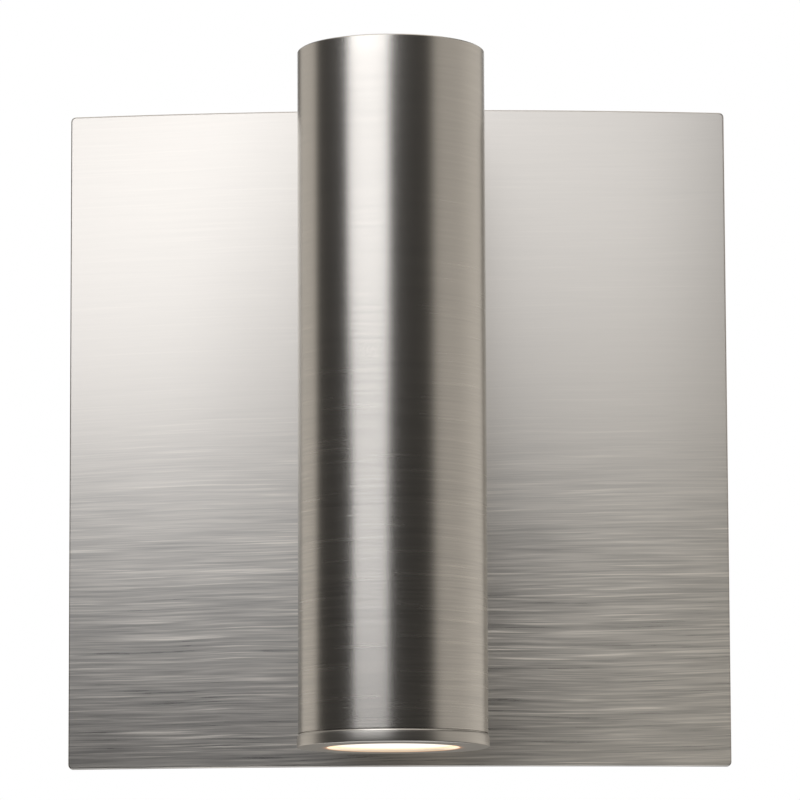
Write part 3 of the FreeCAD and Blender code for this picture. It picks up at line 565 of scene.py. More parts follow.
@dataclass(frozen=True)
class Phosphor(Finish):
    """The light source's yellow gel, lit."""

    def shade(self, tree: ShaderTree) -> Signal:
        """A grainy gel with brighter dots where the chips are.

        Args:
            tree: The material's nodes.

        Returns:
            The shader.
        """
        grains = tree.noise(tree.place(), 5000.0)
        chips = tree.cells(700.0).rise(0.5, 0.1)
        return tree.surface({
            "Base Color": self.tones(tree, grains, 0.85, 1.1), "Roughness": self.roughness,
            "Emission Color": tree.colours(chips, (1.0, 0.70, 0.38), (1.0, 0.88, 0.66)),
            "Emission Strength": 2.0, "Normal": tree.bump(grains, 1e-5)})


@dataclass(frozen=True)
class PaleFloor(Finish):
    """Studio floor that photographs white, yet darkens where the object shades it.

    Attributes:
        own: How much of its white is its own, for camera, gloss and glass.
    """

    own: float = 0.9

    def shade(self, tree: ShaderTree) -> Signal:
        """A dull pale floor with most of its white from itself.

        Args:
            tree: The material's nodes.

        Returns:
            The shader.
        """
        tone = self.tones(tree, tree.noise(tree.place(), 1.5), 0.98, 1.02)
        dull = tree.surface({"Base Color": tone, "Roughness": self.roughness,
                             "Specular IOR Level": 0.0})
        glow = tree.node("ShaderNodeEmission", None, {"Color": (1.0, 1.0, 1.0), "Strength": 1.0})
        camera_ray, glossy_ray, clear_ray = tree.rays("Camera", "Glossy", "Transmission")
        seen = (camera_ray + glossy_ray + clear_ray).clamped()
        return tree.node("ShaderNodeMixShader", None, {0: seen * self.own, 1: dull, 2: glow})


# ---- Modelling bench -----------------------------------
class Facing(Enum):
    """Where the upright axis of a piece points once it is turned, with that turn."""

    UP = (0.0, 0.0, 0.0)
    DOWN = (math.pi, 0.0, 0.0)
    FRONT = (math.pi / 2, 0.0, 0.0)
    BACK = (-math.pi / 2, 0.0, 0.0)


class Bench:
    """Modelling by hand in steps: primitives, edit-mode work and applied modifiers."""

    @staticmethod
    def pick(*pieces: Piece) -> None:
        """Select some pieces alone, or none, so that the next step acts on them.

        Args:
            pieces: The pieces. The first one is made active.
        """
        bpy.ops.object.select_all(action="DESELECT")
        for piece in pieces:
            piece.select_set(True)
        if pieces:
            bpy.context.view_layer.objects.active = pieces[0]

    @classmethod
    def modify(cls, piece: Piece, kind: str, **settings: object) -> None:
        """Put a piece through one modifier.

        Args:
            piece: The piece.
            kind: The modifier's type.
            settings: The modifier's settings.
        """
        cls.pick(piece)
        modifier = piece.modifiers.new(kind, kind)
        for name, value in settings.items():
            setattr(modifier, name, value)
        bpy.ops.object.modifier_apply(modifier=modifier.name)

    @classmethod
    def turned(cls, name: str, profile: list, steps: int = 48) -> Piece:
        """Turn a profile round the upright axis through the origin.

        Args:
            name: The piece's name.
            profile: Its corners as (radius, height), either closed or from axis to axis.
            steps: How many faces go round.

        Returns:
            The piece, a closed mesh.
        """
        cls.pick()
        bpy.ops.mesh.primitive_plane_add(size=MM, location=(0.0, 0.0, 0.0))
        piece = bpy.context.active_object
        piece.name = piece.data.name = name
        bpy.ops.object.mode_set(mode="EDIT")
        bpy.ops.mesh.merge(type="CENTER")
        bpy.ops.transform.translate(value=(profile[0][0], 0.0, profile[0][1]))
        loop = profile if profile[0][0] == 0.0 else profile + profile[:1]
        for before, after in zip(loop, loop[1:]):
            bpy.ops.mesh.extrude_vertices_move(TRANSFORM_OT_translate={
                "value": (after[0] - before[0], 0.0, after[1] - before[1])})
        bpy.ops.mesh.select_all(action="SELECT")
        bpy.ops.mesh.spin(steps=steps, angle=2 * math.pi, center=(0.0, 0.0, 0.0), axis=(0.0, 0.0, 1.0))
        bpy.ops.mesh.select_all(action="SELECT")
        bpy.ops.mesh.remove_doubles(threshold=2e-6)
        bpy.ops.mesh.normals_make_consistent(inside=False)
        bpy.ops.object.mode_set(mode="OBJECT")
        return piece

    @classmethod
    def thread(cls, name: str, crest: float, pitch: float, low: float, high: float,
               steps: int) -> Piece:
        """Wind a screw thread's ridge round the upright axis through the origin.

        Args:
            name: The piece's name.
            crest: The radius of its crest.
            pitch: The rise of one turn.
            low: Where it starts.
            high: Where it ends.
            steps: How many faces go round in a turn.

        Returns:
            The ridge, closed at both ends.
        """
        cls.pick()
        size = pitch * 0.54
        bpy.ops.mesh.primitive_circle_add(vertices=3, radius=size, fill_type="NOTHING",
                                          location=(crest - size, 0.0, low + size),
                                          rotation=(math.pi / 2, 0.0, -math.pi / 2))
        piece = bpy.context.active_object
        piece.name = piece.data.name = name
        bpy.ops.object.transform_apply()
        for corner in piece.data.vertices:
            corner.co.y = 0.0
        turns = max(int((high - low - 2 * size) / pitch), 1)
        cls.modify(piece, "SCREW", axis="Z", angle=2 * math.pi, screw_offset=pitch, iterations=turns,
                   steps=steps, render_steps=steps)
        bpy.ops.object.mode_set(mode="EDIT")
        bpy.ops.mesh.select_all(action="SELECT")
        bpy.ops.mesh.fill_holes(sides=0)
        bpy.ops.mesh.select_all(action="SELECT")
        bpy.ops.mesh.normals_make_consistent(inside=False)
        bpy.ops.object.mode_set(mode="OBJECT")
        return piece

    @classmethod
    def threaded(cls, name: str, profile: list, steps: int, ridge: tuple,
                 angle: float = 32.0) -> Piece:
        """Turn a profile, and wind a thread on it.

        Args:
            name: The piece's name.
            profile: Its corners, as for turned.
            steps: How many faces go round.
            ridge: The thread's crest, pitch, start, end and steps, as for thread.
            angle: The angle from which edges stay sharp.

        Returns:
            The piece, shaded smooth.
        """
        piece = cls.join(name, cls.turned(name, profile, steps), cls.thread(name + "_ridge", *ridge))
        cls.smooth(piece, angle)
        return piece

    @classmethod
    def carve(cls, piece: Piece, tool: Piece) -> None:
        """Take one closed piece away from another.

        Args:
            piece: What is cut.
            tool: What is taken away. It isn't kept.
        """
        cls.modify(piece, "BOOLEAN", operation="DIFFERENCE", solver="EXACT", object=tool)
        bpy.data.objects.remove(tool)

    @classmethod
    def eased(cls, node: str, name: str, width: float) -> Piece:
        """Copy a solid with its sharp edges rounded and its flat faces flat.

        Corners in one place are merged first, and flat faces made whole.

        Args:
            node: The solid's name.
            name: The new piece's name.
            width: How wide the rounding is.

        Returns:
            The new piece.
        """
        piece = bpy.data.objects.new(name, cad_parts[node].data.copy())
        piece.data.name = name
        bpy.context.scene.collection.objects.link(piece)
        cls.pick(piece)
        bpy.ops.object.mode_set(mode="EDIT")
        bpy.ops.mesh.select_all(action="SELECT")
        bpy.ops.mesh.remove_doubles(threshold=1e-6)
        bpy.ops.mesh.dissolve_limited(angle_limit=math.radians(1.0))
        bpy.ops.object.mode_set(mode="OBJECT")
        cls.modify(piece, "BEVEL", width=width, segments=2, limit_method="ANGLE",
                   angle_limit=math.radians(40.0), use_clamp_overlap=True)
        cls.smooth(piece)
        cls.modify(piece, "WEIGHTED_NORMAL", keep_sharp=True)
        return piece

    @classmethod
    def smooth(cls, piece: Piece, angle: float = 32.0) -> None:
        """Shade a piece smooth, but for its sharp edges."""
        cls.pick(piece)
        bpy.ops.object.shade_smooth_by_angle(angle=math.radians(angle))

    @classmethod
    def repeat(cls, piece: Piece, spots: list) -> Piece:
        """Copy a piece to several spots, as one piece.

        Args:
            piece: What is copied. It stands at the origin, and goes to the first spot.
            spots: Places, each with where the copy faces.

        Returns:
            The joined piece, with its place in its mesh.
        """
        copies = [piece]
        for _ in spots[1:]:
            twin = piece.copy()
            twin.data = piece.data.copy()
            bpy.context.scene.collection.objects.link(twin)
            copies.append(twin)
        for copy, (place, facing) in zip(copies, spots):
            copy.location, copy.rotation_euler = place, facing.value
        cls.pick(*copies)
        bpy.ops.object.transform_apply()
        return cls.join(piece.name, *copies)

    @classmethod
    def join(cls, name: str, *pieces: Piece) -> Piece:
        """Make several pieces one.

        Args:
            name: The whole's name.
            pieces: The pieces.

        Returns:
            The whole.
        """
        cls.pick(*pieces)
        if len(pieces) > 1:
            bpy.ops.object.join()
        whole = bpy.context.active_object
        whole.name = whole.data.name = name
        return whole

    @staticmethod
    def finish(piece: Piece, finish: Finish, body: str, *nodes: str) -> None:
        """Give a new piece its finish and body, and hide the solids that it stands for.

        Args:
            piece: The piece.
            finish: Its finish, which is also its material slot's name.
            body: The body that it rides on.
            nodes: The solids that it replaces.
        """
        piece.data.materials.clear()
        piece.data.materials.append(finish.make())
        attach(piece, body)
        if nodes:
            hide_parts(*nodes)
        LOG.info("%s: %s, on %s", piece.name, finish.name, body)


def dress(finish: Finish, *nodes: str) -> None:
    """Give solids that stay as they are one finish.

    Args:
        finish: The finish.
        nodes: The solids' names.
    """
    material = finish.make()
    for node in nodes:
        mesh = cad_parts[node].data
        mesh.materials.clear()
        mesh.materials.append(material)
        LOG.info("%s: %s", node, finish.name)


# ---- Sub-assemblies ------------------------------------
NICKEL = (0.66, 0.635, 0.595)
STEEL = (0.62, 0.63, 0.64)
ZINC = SheetMetal("zinc_steel", STEEL, roughness=0.28, spangle=0.03)
THREAD_ROOT = 0.86  # a small thread's root, to its crest


def quarter() -> list:
    """A quarter turn in six steps, as how far it stands in from the side and up from the end."""
    return [(1 - math.cos(turn), 1 - math.sin(turn))
            for turn in (math.pi / 2 * step / 6 for step in range(7))]


class Drive(Enum):
    """What a screwdriver fits into, with how many corners the cutter for it has."""

    SOCKET = 6
    SLOT = 4


@dataclass
class Screw:
    """A screw with a domed head and a drive, its shank threaded.

    Attributes:
        reach: Its shank's length.
        shank: Its shank's radius.
        head: Its head's radius.
        height: Its head's height.
        drive: What a screwdriver fits into.
        across: A socket's width across its flats.
    """

    reach: float
    shank: float = 2.0 * MM
    head: float = 4.0 * MM
    height: float = 2.5 * MM
    drive: Drive = Drive.SOCKET
    across: float = 3.9 * MM

    def build(self, name: str, spots: list) -> Piece:
        """Model one screw, and copy it to every spot.

        Args:
            name: The piece's name.
            spots: Places under the heads, each with where the head faces.

        Returns:
            The piece.
        """
        root = self.shank * THREAD_ROOT
        dome = [(self.head * math.cos(turn), self.height * (0.45 + 0.55 * math.sin(turn)))
                for turn in (math.radians(10 * step) for step in range(9))]
        screw = Bench.turned(name, [
            (0.0, -self.reach), (root * 0.8, -self.reach), (root, -self.reach * 0.92), (root, 0.0),
            (self.head * 0.96, 0.0), (self.head, self.height * 0.06), *dome, (0.0, self.height)])
        Bench.pick()
        size = self.across / math.sqrt(3) if self.drive is Drive.SOCKET else self.head * 1.6
        bpy.ops.mesh.primitive_cylinder_add(
            vertices=self.drive.value, radius=size, depth=self.height * 1.2,
            location=(0.0, 0.0, self.height), rotation=(0.0, 0.0, math.pi / 4))
        tool = bpy.context.active_object
        if self.drive is Drive.SLOT:
            tool.scale = (1.0, 0.16, 1.0)
            tool.rotation_euler = (0.0, 0.0, 0.0)
        bpy.ops.object.transform_apply()
        Bench.carve(screw, tool)
        ridge = Bench.thread(name + "_ridge", self.shank, self.shank * 0.36, -self.reach, 0.0, 16)
        screw = Bench.join(name, screw, ridge)
        Bench.smooth(screw)
        return Bench.repeat(screw, spots)


@dataclass
class BackPlate:
    """The bowed square plate with its studs and their nuts.

    Attributes:
        stud: The studs' radius.
        start: The depth where the studs leave the plate.
        end: The depth where the studs end.
        up: How far the studs are above and below the middle.
        pitch: Their threads' pitch.
    """

    stud: float = highest("plate_studs").x
    start: float = lowest("plate_studs").y
    end: float = highest("plate_studs").y
    up: float = 56.0 * MM
    pitch: float = 0.7 * MM

    def build(self) -> None:
        """Dress the plate, cut the studs' threads, and ease their nuts."""
        # The plate's scratches carry painted highlight and shade in their tone.
        dress(BrushedMetal("nickel_plate", NICKEL, roughness=0.344, stretch=0.318, pitch=1100.0,
                           slant=0.02, depth=3e-6, gloss=0.2, painted_streaks=1.15, even=0.06,
                           coarse=(0.02, -0.065)), "face_plate")
        root, reach, tip = self.stud * THREAD_ROOT, self.end - self.start, 0.4 * MM
        stud = Bench.threaded("stud_threads", [
            (0.0, 0.0), (root, 0.0), (root, reach - tip), (root * 0.7, reach), (0.0, reach)], 32,
            (self.stud, self.pitch, 0.6 * MM, reach - 0.3 * MM, 20))
        studs = Bench.repeat(stud, [((0.0, self.start, side * self.up), Facing.BACK)
                                    for side in (1, -1)])
        Bench.finish(studs, ZINC, "fixture", "plate_studs")
        nuts = Bench.eased("stud_nuts", "stud_nut_pair", 0.25 * MM)
        Bench.finish(nuts, ZINC, "fixture", "stud_nuts")


@dataclass
class WallBracket:
    """Mounting pan, wall strap and their screws.

    Attributes:
        edge: The rounding of the sheets' sheared edges.
        side: How far the side screws' seats are above and below the middle.
        back: How far the side screws are in front of the wall.
        ground: How far the ground screw is above the middle.
        sheet: The strap's thickness.
    """

    edge: float = 0.3 * MM
    side: float = highest("mounting_pan").z
    back: float = 5.0 * MM
    ground: float = 34.0 * MM
    sheet: float = 2.0 * MM

    def build(self) -> None:
        """Round the sheets' edges, and make the screws."""
        steel = SheetMetal("pan_steel", (0.55, 0.56, 0.57), roughness=0.4, spangle=0.09)
        for node, finish in (("mounting_pan", steel), ("wall_strap", ZINC)):
            Bench.finish(Bench.eased(node, node + "_sheet", self.edge), finish, "fixture", node)
        pair = Screw(reach=7.0 * MM).build("side_screw_pair", [
            ((0.0, -self.back, self.side), Facing.UP), ((0.0, -self.back, -self.side), Facing.DOWN)])
        Bench.finish(pair, ZINC, "fixture", "side_screws")
        green = SheetMetal("green_screw", (0.05, 0.30, 0.10), roughness=0.38, spangle=0.02)
        screw = Screw(reach=self.sheet).build(
            "ground_screw_green", [((0.0, -self.sheet, self.ground), Facing.FRONT)])
        Bench.finish(screw, green, "fixture", "ground_screw")


@dataclass
class Clamp:
    """The hollow threaded bar that clamps tube, arm, plate and pan, with its nuts.

    Attributes:
        radius: The bar's outer radius.
        bore: The bar's bore.
        front: The bar's end inside the tube.
        back: The bar's end inside the pan.
        pitch: The thread's pitch.
    """

    radius: float = highest("nipple").x
    bore: float = 3.6 * MM
    front: float = lowest("nipple").y
    back: float = highest("nipple").y
    pitch: float = 1.0 * MM

    def build(self) -> None:
        """Make the threaded bar, ease the nuts, and dress what they clamp."""
        root, length, chamfer = self.radius - 0.55 * MM, self.back - self.front, 0.3 * MM
        bar = Bench.threaded("threaded_bar", [
            (self.bore, chamfer), (self.bore + chamfer, 0.0), (root, 0.0), (root, length),
            (self.bore + chamfer, length), (self.bore, length - chamfer)], 40,
            (self.radius, self.pitch, 0.0, length, 24))
        bar = Bench.repeat(bar, [((0.0, self.front, 0.0), Facing.BACK)])
        Bench.finish(bar, ZINC, "fixture", "nipple")
        for node in ("pan_nut", "tube_nut"):
            Bench.finish(Bench.eased(node, node + "_eased", 0.4 * MM), ZINC, "fixture", node)
        dress(ZINC, "pan_washer")
        dress(Moulded("nylon", (0.88, 0.86, 0.80), roughness=0.4), "wire_bushings", "driver_standoffs")
        dress(BrushedMetal("nickel_arm", NICKEL, roughness=0.3, stretch=0.0, grain=Grain.ROUND_ARM,
                           pitch=900.0), "arm")


@dataclass
class LightTube:
    """The tube, its sunk cap, and what holds them together.

    Attributes:
        cap_face: The height of the cap's upper face.
        screw_line: The depth of the cap screws.
        screw_across: How far the cap screws are from the middle.
    """

    cap_face: float = highest("top_cap").z
    screw_line: float = -105.7 * MM
    screw_across: float = 6.0 * MM

    def build(self) -> None:
        """Dress the tube and its cap, and make the cap screws."""
        # The tube's scratches carry painted highlight and shade in their tone.
        dress(BrushedMetal("nickel_tube", NICKEL, roughness=0.268, stretch=0.0, pitch=900.0,
                           depth=1.5e-7, gloss=0.04, painted_streaks=0.4, even=0.3, coarse=(0.06, -0.08)),
              "tube_body")
        dress(TurnedMetal("nickel_cap", NICKEL, roughness=0.34), "top_cap")
        screw = Screw(reach=6.0 * MM, shank=1.5 * MM, head=2.9 * MM, height=1.8 * MM,
                      across=2.6 * MM)
        screws = screw.build("cap_screw_pair", [
            ((side * self.screw_across, self.screw_line, self.cap_face), Facing.UP)
            for side in (1, -1)])
        Bench.finish(screws, ZINC, "fixture", "cap_screws")
        dress(ZINC, "inner_bracket", "case_screws", "sink_screws", "holder_screws", "earth_screw")
        dress(SheetMetal("cast_alloy", (0.60, 0.60, 0.61), roughness=0.5), "saddle_spacer")


@dataclass
class Bezel:
    """The ring that screws into the tube, with the lens and gasket that it holds.

    Attributes:
        low: The height of the ring's lower face.
        outer: The ring's outer radius.
        opening: The radius of the light opening.
        ring: The ring's height below the tube.
        top: The height of the threaded skirt's upper end.
        skirt: The skirt's outer radius.
        wall: The skirt's wall.
        pitch: The thread's pitch.
        seat: The radius that the lens sits in.
        ledge: The thickness of the ledge under the lens.
        edge: How far the outer edges' rounding reaches in.
        shoulder: How far the upper edge's rounding reaches down.
        groove: The height of the seam's groove under the tube.
        groove_depth: How deep that groove is.
        lip: The rounding of the opening's lip.
        lens: The lens's radius.
        lens_low: The height of the lens's lower face.
        lens_high: The height of the lens's upper face.
        lens_edge: The rounding of the lens's lower edge.
        steps: How many ring steps the lens has above.
        drop: How deep those steps are.
    """

    low: float = lowest("bezel_ring").z
    outer: float = highest("bezel_ring").x
    opening: float = 19.0 * MM
    ring: float = 4.0 * MM
    top: float = highest("bezel_ring").z
    skirt: float = 25.74 * MM
    wall: float = 1.6 * MM
    pitch: float = 1.5 * MM
    seat: float = 23.05 * MM
    ledge: float = 0.8 * MM
    edge: float = 0.45 * MM
    shoulder: float = 1.1 * MM
    groove: float = 0.3 * MM
    groove_depth: float = 1.0 * MM
    lip: float = 0.24 * MM
    lens: float = highest("lens").x
    lens_low: float = lowest("lens").z
    lens_high: float = highest("lens").z
    lens_edge: float = 0.35 * MM
    steps: int = 14
    drop: float = 0.22 * MM

    def build_ring(self) -> None:
        """Turn the ring with rounded edges, and cut its thread."""
        face, ledge, chamfer = self.low + self.ring, self.low + self.ledge, 0.3 * MM
        root, inner = self.skirt - 0.8 * MM, self.skirt - self.wall
        lower = [(self.outer - self.edge * inward, self.low + self.edge * upward)
                 for inward, upward in reversed(quarter())]
        upper = [(self.outer - self.edge * inward, face - self.groove - self.shoulder * upward)
                 for inward, upward in quarter()]
        inmost, bevel = self.outer - self.groove_depth, self.lip * (1 - math.cos(math.pi / 4))
        ring = Bench.threaded("bezel_turned", [
            (self.opening, ledge), (self.opening, self.low + self.lip),
            (self.opening + bevel, self.low + bevel), (self.opening + self.lip, self.low),
            *lower, *upper, (inmost, face - self.groove), (inmost, face),
            (root, face), (root, self.top - chamfer), (root - chamfer, self.top), (inner, self.top),
            (inner, self.lens_high + 0.4 * MM), (self.seat, self.lens_high - 0.4 * MM),
            (self.seat, ledge)], 128, (self.skirt, self.pitch, face + 0.1 * MM, self.top, 96), 24.0)
        ring = Bench.repeat(ring, [(TUBE_LINE, Facing.UP)])
        # The ring's lip has the lens's light painted on as a glow, and its scratches carry painted
        # highlight and shade.
        Bench.finish(ring, RingWithPaintedGlow("nickel_bezel", NICKEL, roughness=0.34, stretch=0.0, pitch=1100.0,
                                   depth=1e-7, gloss=0.05, painted_streaks=0.3, opening=self.opening),
                     "bezel", "bezel_ring")

    def build_lens(self) -> None:
        """Turn the lens, with a rounded edge below and fine steps above."""
        rounded = [(self.lens - self.lens_edge * inward, self.lens_low + self.lens_edge * upward)
                   for inward, upward in reversed(quarter())]
        stepped, floor, ridges = self.lens - 2.6 * MM, self.lens_high - self.drop, []
        for step in range(self.steps):
            ridges += [(stepped * (1 - step / self.steps), self.lens_high),
                       (stepped * (1 - (step + 0.85) / self.steps), floor)]
        lens = Bench.turned("frosted_disc", [
            (0.0, self.lens_low), *rounded, (self.lens, self.lens_high - 0.1 * MM),
            (self.lens - 0.1 * MM, self.lens_high), *ridges, (0.0, floor)], 96)
        Bench.smooth(lens, 24.0)
        lens = Bench.repeat(lens, [(TUBE_LINE, Facing.UP)])
        Bench.finish(lens, LitLens("frosted_lens", (0.55, 0.54, 0.51), roughness=0.5), "lens_set",
                     "lens")

    def build(self) -> None:
        """Make ring and lens, and dress the gasket."""
        self.build_ring()
        self.build_lens()
        dress(Moulded("gasket_rubber", (0.04, 0.04, 0.042), roughness=0.65), "lens_gasket")


@dataclass
class Wiring:
    """Terminal block, leads and earth.

    Attributes:
        across: The clamp screws' place sideways.
        heights: The poles' heights.
        clamp: The clamp screws' radius.
        shank: How much of a clamp screw is its shank.
    """

    across: float = 36.0 * MM
    heights: tuple = (-29.5 * MM, -39.0 * MM, -48.5 * MM)
    clamp: float = 1.7 * MM
    shank: float = 0.5 * MM

    def build(self) -> None:
        """Ease the block, slot its clamp screws, and dress the leads."""
        block = Bench.eased("terminal_block", "block_eased", 0.3 * MM)
        Bench.finish(block, Moulded("block_plastic", (0.84, 0.82, 0.76), roughness=0.42), "fixture",
                     "terminal_block")
        brass = SheetMetal("tinned_brass", (0.74, 0.66, 0.46), roughness=0.28, spangle=0.02)
        start = lowest("terminal_screws").y + self.shank
        screw = Screw(reach=self.shank, shank=self.clamp * 0.8, head=self.clamp,
                      height=highest("terminal_screws").y - start, drive=Drive.SLOT)
        clamps = screw.build("clamp_screws", [
            ((self.across, start, height), Facing.BACK) for height in self.heights])
        Bench.finish(clamps, brass, "fixture", "terminal_screws")
        dress(brass, "earth_tag")
        for name, colour, *nodes in (
                ("lead_black", (0.025, 0.025, 0.027), "lead_live", "led_lead_minus"),
                ("lead_white", (0.84, 0.83, 0.80), "lead_neutral"),
                ("lead_green", (0.03, 0.30, 0.08), "lead_earth"),
                ("lead_red", (0.50, 0.03, 0.02), "led_lead_plus")):
            dress(Moulded(name, colour, roughness=0.35), *nodes)


@dataclass
class LightEngine:
    """Driver, heat sink, light source and reflector inside the tube."""

    def build(self) -> None:
        """Dress the pieces."""
        dress(Moulded("case_plastic", (0.06, 0.06, 0.065), roughness=0.45), "driver_case")
        dress(Moulded("component_black", (0.035, 0.035, 0.035), roughness=0.3), "driver_parts")
        dress(CircuitBoard("board_green", (0.03, 0.20, 0.09), roughness=0.32), "driver_board")
        dress(SheetMetal("sink_aluminium", (0.66, 0.67, 0.69), roughness=0.42), "heat_sink")
        dress(Moulded("pad_rubber", (0.40, 0.50, 0.62), roughness=0.7), "thermal_pad")
        dress(Moulded("board_ceramic", (0.90, 0.90, 0.88), roughness=0.35), "led_board")
        dress(Phosphor("phosphor", (0.95, 0.70, 0.15), roughness=0.35), "led_emitter")
        dress(Moulded("holder_plastic", (0.90, 0.90, 0.88), roughness=0.4), "led_holder")
        dress(TurnedMetal("reflector_aluminium", (0.88, 0.88, 0.89), roughness=0.15), "reflector")


# ---- Studio --------------------------------------------
@dataclass(frozen=True)
class SoftLamp:
    """A soft lamp that faces the object.

    Attributes:
        name: Its name.
        place: Its centre.
        width: Its width.
        height: Its height.
        brightness: How bright its face is, where 1 is white.
        plate_only: Whether it lights the face plate alone, or all but the face plate.
        colour: Its colour.
    """

    name: str
    place: tuple
    width: float
    height: float
    brightness: float
    plate_only: bool
    colour: tuple = (0.985, 0.985, 1.01)

    def hang(self, plate: bpy.types.Collection, rest: bpy.types.Collection) -> None:
        """Hang the lamp.

        Args:
            plate: The collection that says "the face plate alone".
            rest: The collection that says "all but the face plate".
        """
        data = bpy.data.lights.new(self.name, "AREA")
        data.shape, data.size, data.size_y = "RECTANGLE", self.width, self.height
        data.energy = 4.0 * self.width * self.height * self.brightness
        data.color = self.colour
        lamp = bpy.data.objects.new(self.name, data)
        aim = Vector(self.place).to_track_quat("Z", "Y")
        lamp.matrix_world = Matrix.Translation(self.place) @ aim.to_matrix().to_4x4()
        lamp.visible_camera = False
        lamp.light_linking.receiver_collection = plate if self.plate_only else rest
        bpy.context.scene.collection.objects.link(lamp)
        LOG.info("%s", self.name)


@dataclass(frozen=True)
class Panel:
    """A soft side panel of the surround, in degrees round from the front and up from level.

    Attributes:
        turn: Where it starts and ends going round.
        climb: Where it starts and ends going up.
        soft: How wide its edges are, going round and going up.
        brightness: How bright it is, where 1 is white.
        more: How much brighter its far end is.
    """

    turn: tuple
    climb: tuple
    soft: tuple
    brightness: float
    more: float = 0.0

    def shine(self, turn: Signal, climb: Signal) -> Signal:
        """The panel's light in a direction."""
        form = turn.window(*self.turn, self.soft[0]) * climb.window(*self.climb, self.soft[1])
        return form * (self.brightness + turn.rise(85.0, 125.0) * self.more)


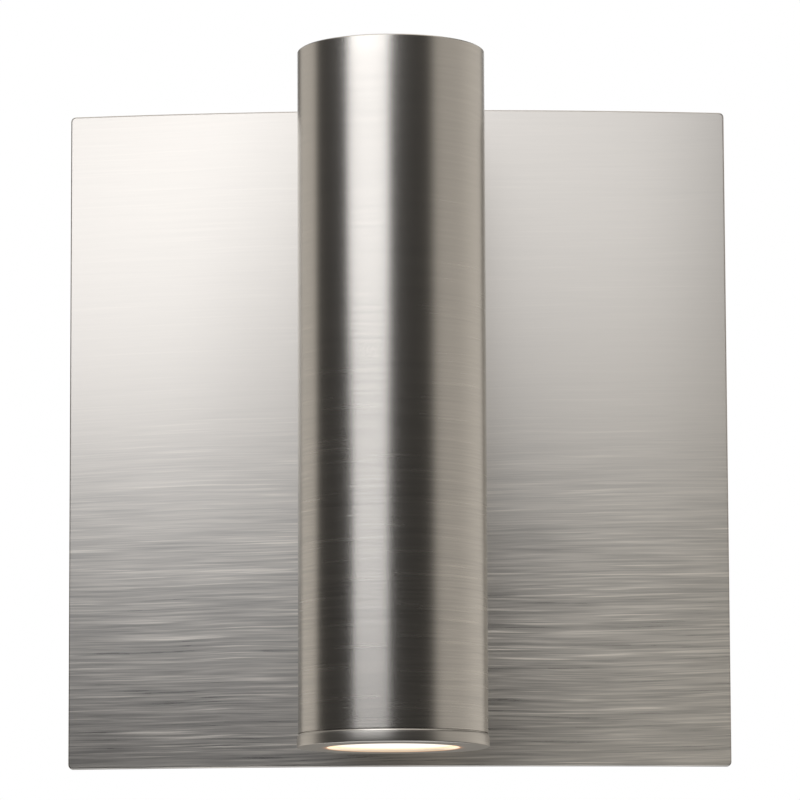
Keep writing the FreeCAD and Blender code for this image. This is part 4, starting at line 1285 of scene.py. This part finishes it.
@dataclass
class Studio:
    """Floor, surround, lamps and camera.

    Attributes:
        floor_height: The floor's height.
        floor_size: The floor's width.
        camera_place: Where the camera is.
        camera_turn: Its yaw, pitch and roll, in degrees.
        focal_pixels: Its focal length, in pixels of the photograph.
        picture_pixels: The photograph's width.
        dim: How bright the surround is between its panels.
        fill: How much more of it dull surfaces see.
        panels: The side panels.
        lamps: The lamps.
    """

    floor_height: float = -2.4
    floor_size: float = 4.0
    camera_place: tuple = (0.02805, -1.5595, -0.19347)
    camera_turn: tuple = (1.014, 7.545, 0.223)
    focal_pixels: float = 5063.3
    picture_pixels: float = 800.0
    dim: float = 0.042
    fill: float = 0.45
    panels: tuple = (Panel((54.0, 152.0), (-12.0, 30.0), (13.0, 16.0), 0.44, 0.14),
                     Panel((-148.0, -104.0), (-25.0, 40.0), (10.0, 20.0), 0.53))
    lamps: tuple = (
        SoftLamp("plate_top", (0.056, -0.386, 0.201), 0.396, 0.290, 0.985, True),
        SoftLamp("plate_wide", (-0.147, -0.260, 0.118), 0.419, 0.380, 0.30, True),
        SoftLamp("plate_left", (-0.183, -0.260, 0.126), 0.184, 0.202, 1.07, True),
        SoftLamp("plate_low", (0.337, -0.530, -0.139), 0.501, 0.509, 0.36, True, (1.0, 0.95, 0.87)),
        SoftLamp("tube_strip", (-0.244, -0.573, 0.157), 0.504, 0.132, 1.18, False),
        SoftLamp("tube_far", (-0.498, -1.141, 0.075), 0.900, 0.140, 1.45, False),
        SoftLamp("tube_near", (-0.077, -0.261, 0.201), 0.179, 0.108, 3.20, False))

    def floor(self) -> None:
        """A pale floor far enough down that it is under every view."""
        Bench.pick()
        bpy.ops.mesh.primitive_plane_add(size=self.floor_size, location=(0.0, 0.0, self.floor_height))
        plane = bpy.context.active_object
        plane.name = "floor"
        bpy.ops.object.transform_apply()
        plane.data.materials.append(PaleFloor("pale_floor", (0.84, 0.84, 0.84), roughness=0.9).make())
        LOG.info("floor")

    def surround(self) -> None:
        """White backdrop behind the object, and a dim studio with side panels in front of it.

        The camera, glass, and gloss that looks backwards see the white. Gloss that looks forwards
        sees the studio, and dull surfaces get an even fill.
        """
        world = bpy.data.worlds.new("studio")
        bpy.context.scene.world = world
        tree = ShaderTree(world)
        across, deep, high = tree.axes(tree.node("ShaderNodeTexCoord", output="Generated"))
        turn = across.angle_over(-deep) * (180.0 / math.pi)
        climb = high.arcsine() * (180.0 / math.pi)
        sides = sum(panel.shine(turn, climb) for panel in self.panels)
        above = climb.rise(42.0, 62.0) * 0.8
        below = climb.rise(0.0, -8.0) * abs(turn).rise(90.0, 130.0) * 0.26
        backdrop = abs(turn).rise(156.0, 172.0) * climb.rise(-4.0, 2.0)
        camera_ray, glossy_ray, clear_ray, dull_ray = tree.rays(
            "Camera", "Glossy", "Transmission", "Diffuse")
        studio = tree.node("ShaderNodeBackground", None, {
            "Color": tree.colours(dull_ray, (1.0, 0.94, 0.86), (1.0, 0.99, 0.975)),
            "Strength": self.dim + sides + above + below + dull_ray * self.fill})
        white = tree.node("ShaderNodeBackground", None, {"Color": (1.0, 1.0, 1.0), "Strength": 1.0})
        seen = (camera_ray + clear_ray + glossy_ray * backdrop).clamped()
        mixed = tree.node("ShaderNodeMixShader", None, {0: seen, 1: studio, 2: white})
        tree.finish(mixed, "ShaderNodeOutputWorld")
        LOG.info("surround")

    def camera(self) -> None:
        """The photograph's own view: from low in front, a little to the right."""
        data = bpy.data.cameras.new("camera")
        data.sensor_width = 36.0
        data.lens = data.sensor_width * self.focal_pixels / self.picture_pixels
        data.clip_start, data.clip_end = 0.05, 60.0
        camera = bpy.data.objects.new("camera", data)
        yaw, pitch, roll = (math.radians(turn) for turn in self.camera_turn)
        camera.matrix_world = (
            Matrix.Translation(self.camera_place) @ Matrix.Rotation(yaw, 4, "Z")
            @ Matrix.Rotation(math.pi / 2 + pitch, 4, "X") @ Matrix.Rotation(-roll, 4, "Z"))
        bpy.context.scene.collection.objects.link(camera)
        bpy.context.scene.camera = camera
        bpy.context.scene.view_settings.view_transform = "Standard"
        LOG.info("camera")

    def link_lamps(self) -> None:
        """Hang the lamps: some light the plate alone, as in an exposure of its own."""
        plate = bpy.data.collections.new("plate_light")
        rest = bpy.data.collections.new("rest_light")
        for group, state in ((plate, "INCLUDE"), (rest, "EXCLUDE")):
            group.objects.link(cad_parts["face_plate"])
            group.collection_objects[0].light_linking.link_state = state
        for lamp in self.lamps:
            lamp.hang(plate, rest)

    def build(self) -> None:
        """Make the whole studio."""
        self.camera()
        self.surround()
        self.link_lamps()
        self.floor()


def main() -> None:
    """Build the studio and the light, piece by piece."""
    logging.basicConfig(level=logging.INFO, format="%(message)s")
    for assembly in (Studio(), BackPlate(), WallBracket(), Clamp(), LightTube(), Bezel(), Wiring(),
                     LightEngine()):
        LOG.info("-- %s", type(assembly).__name__)
        assembly.build()


if __name__ == "__main__":
    main()
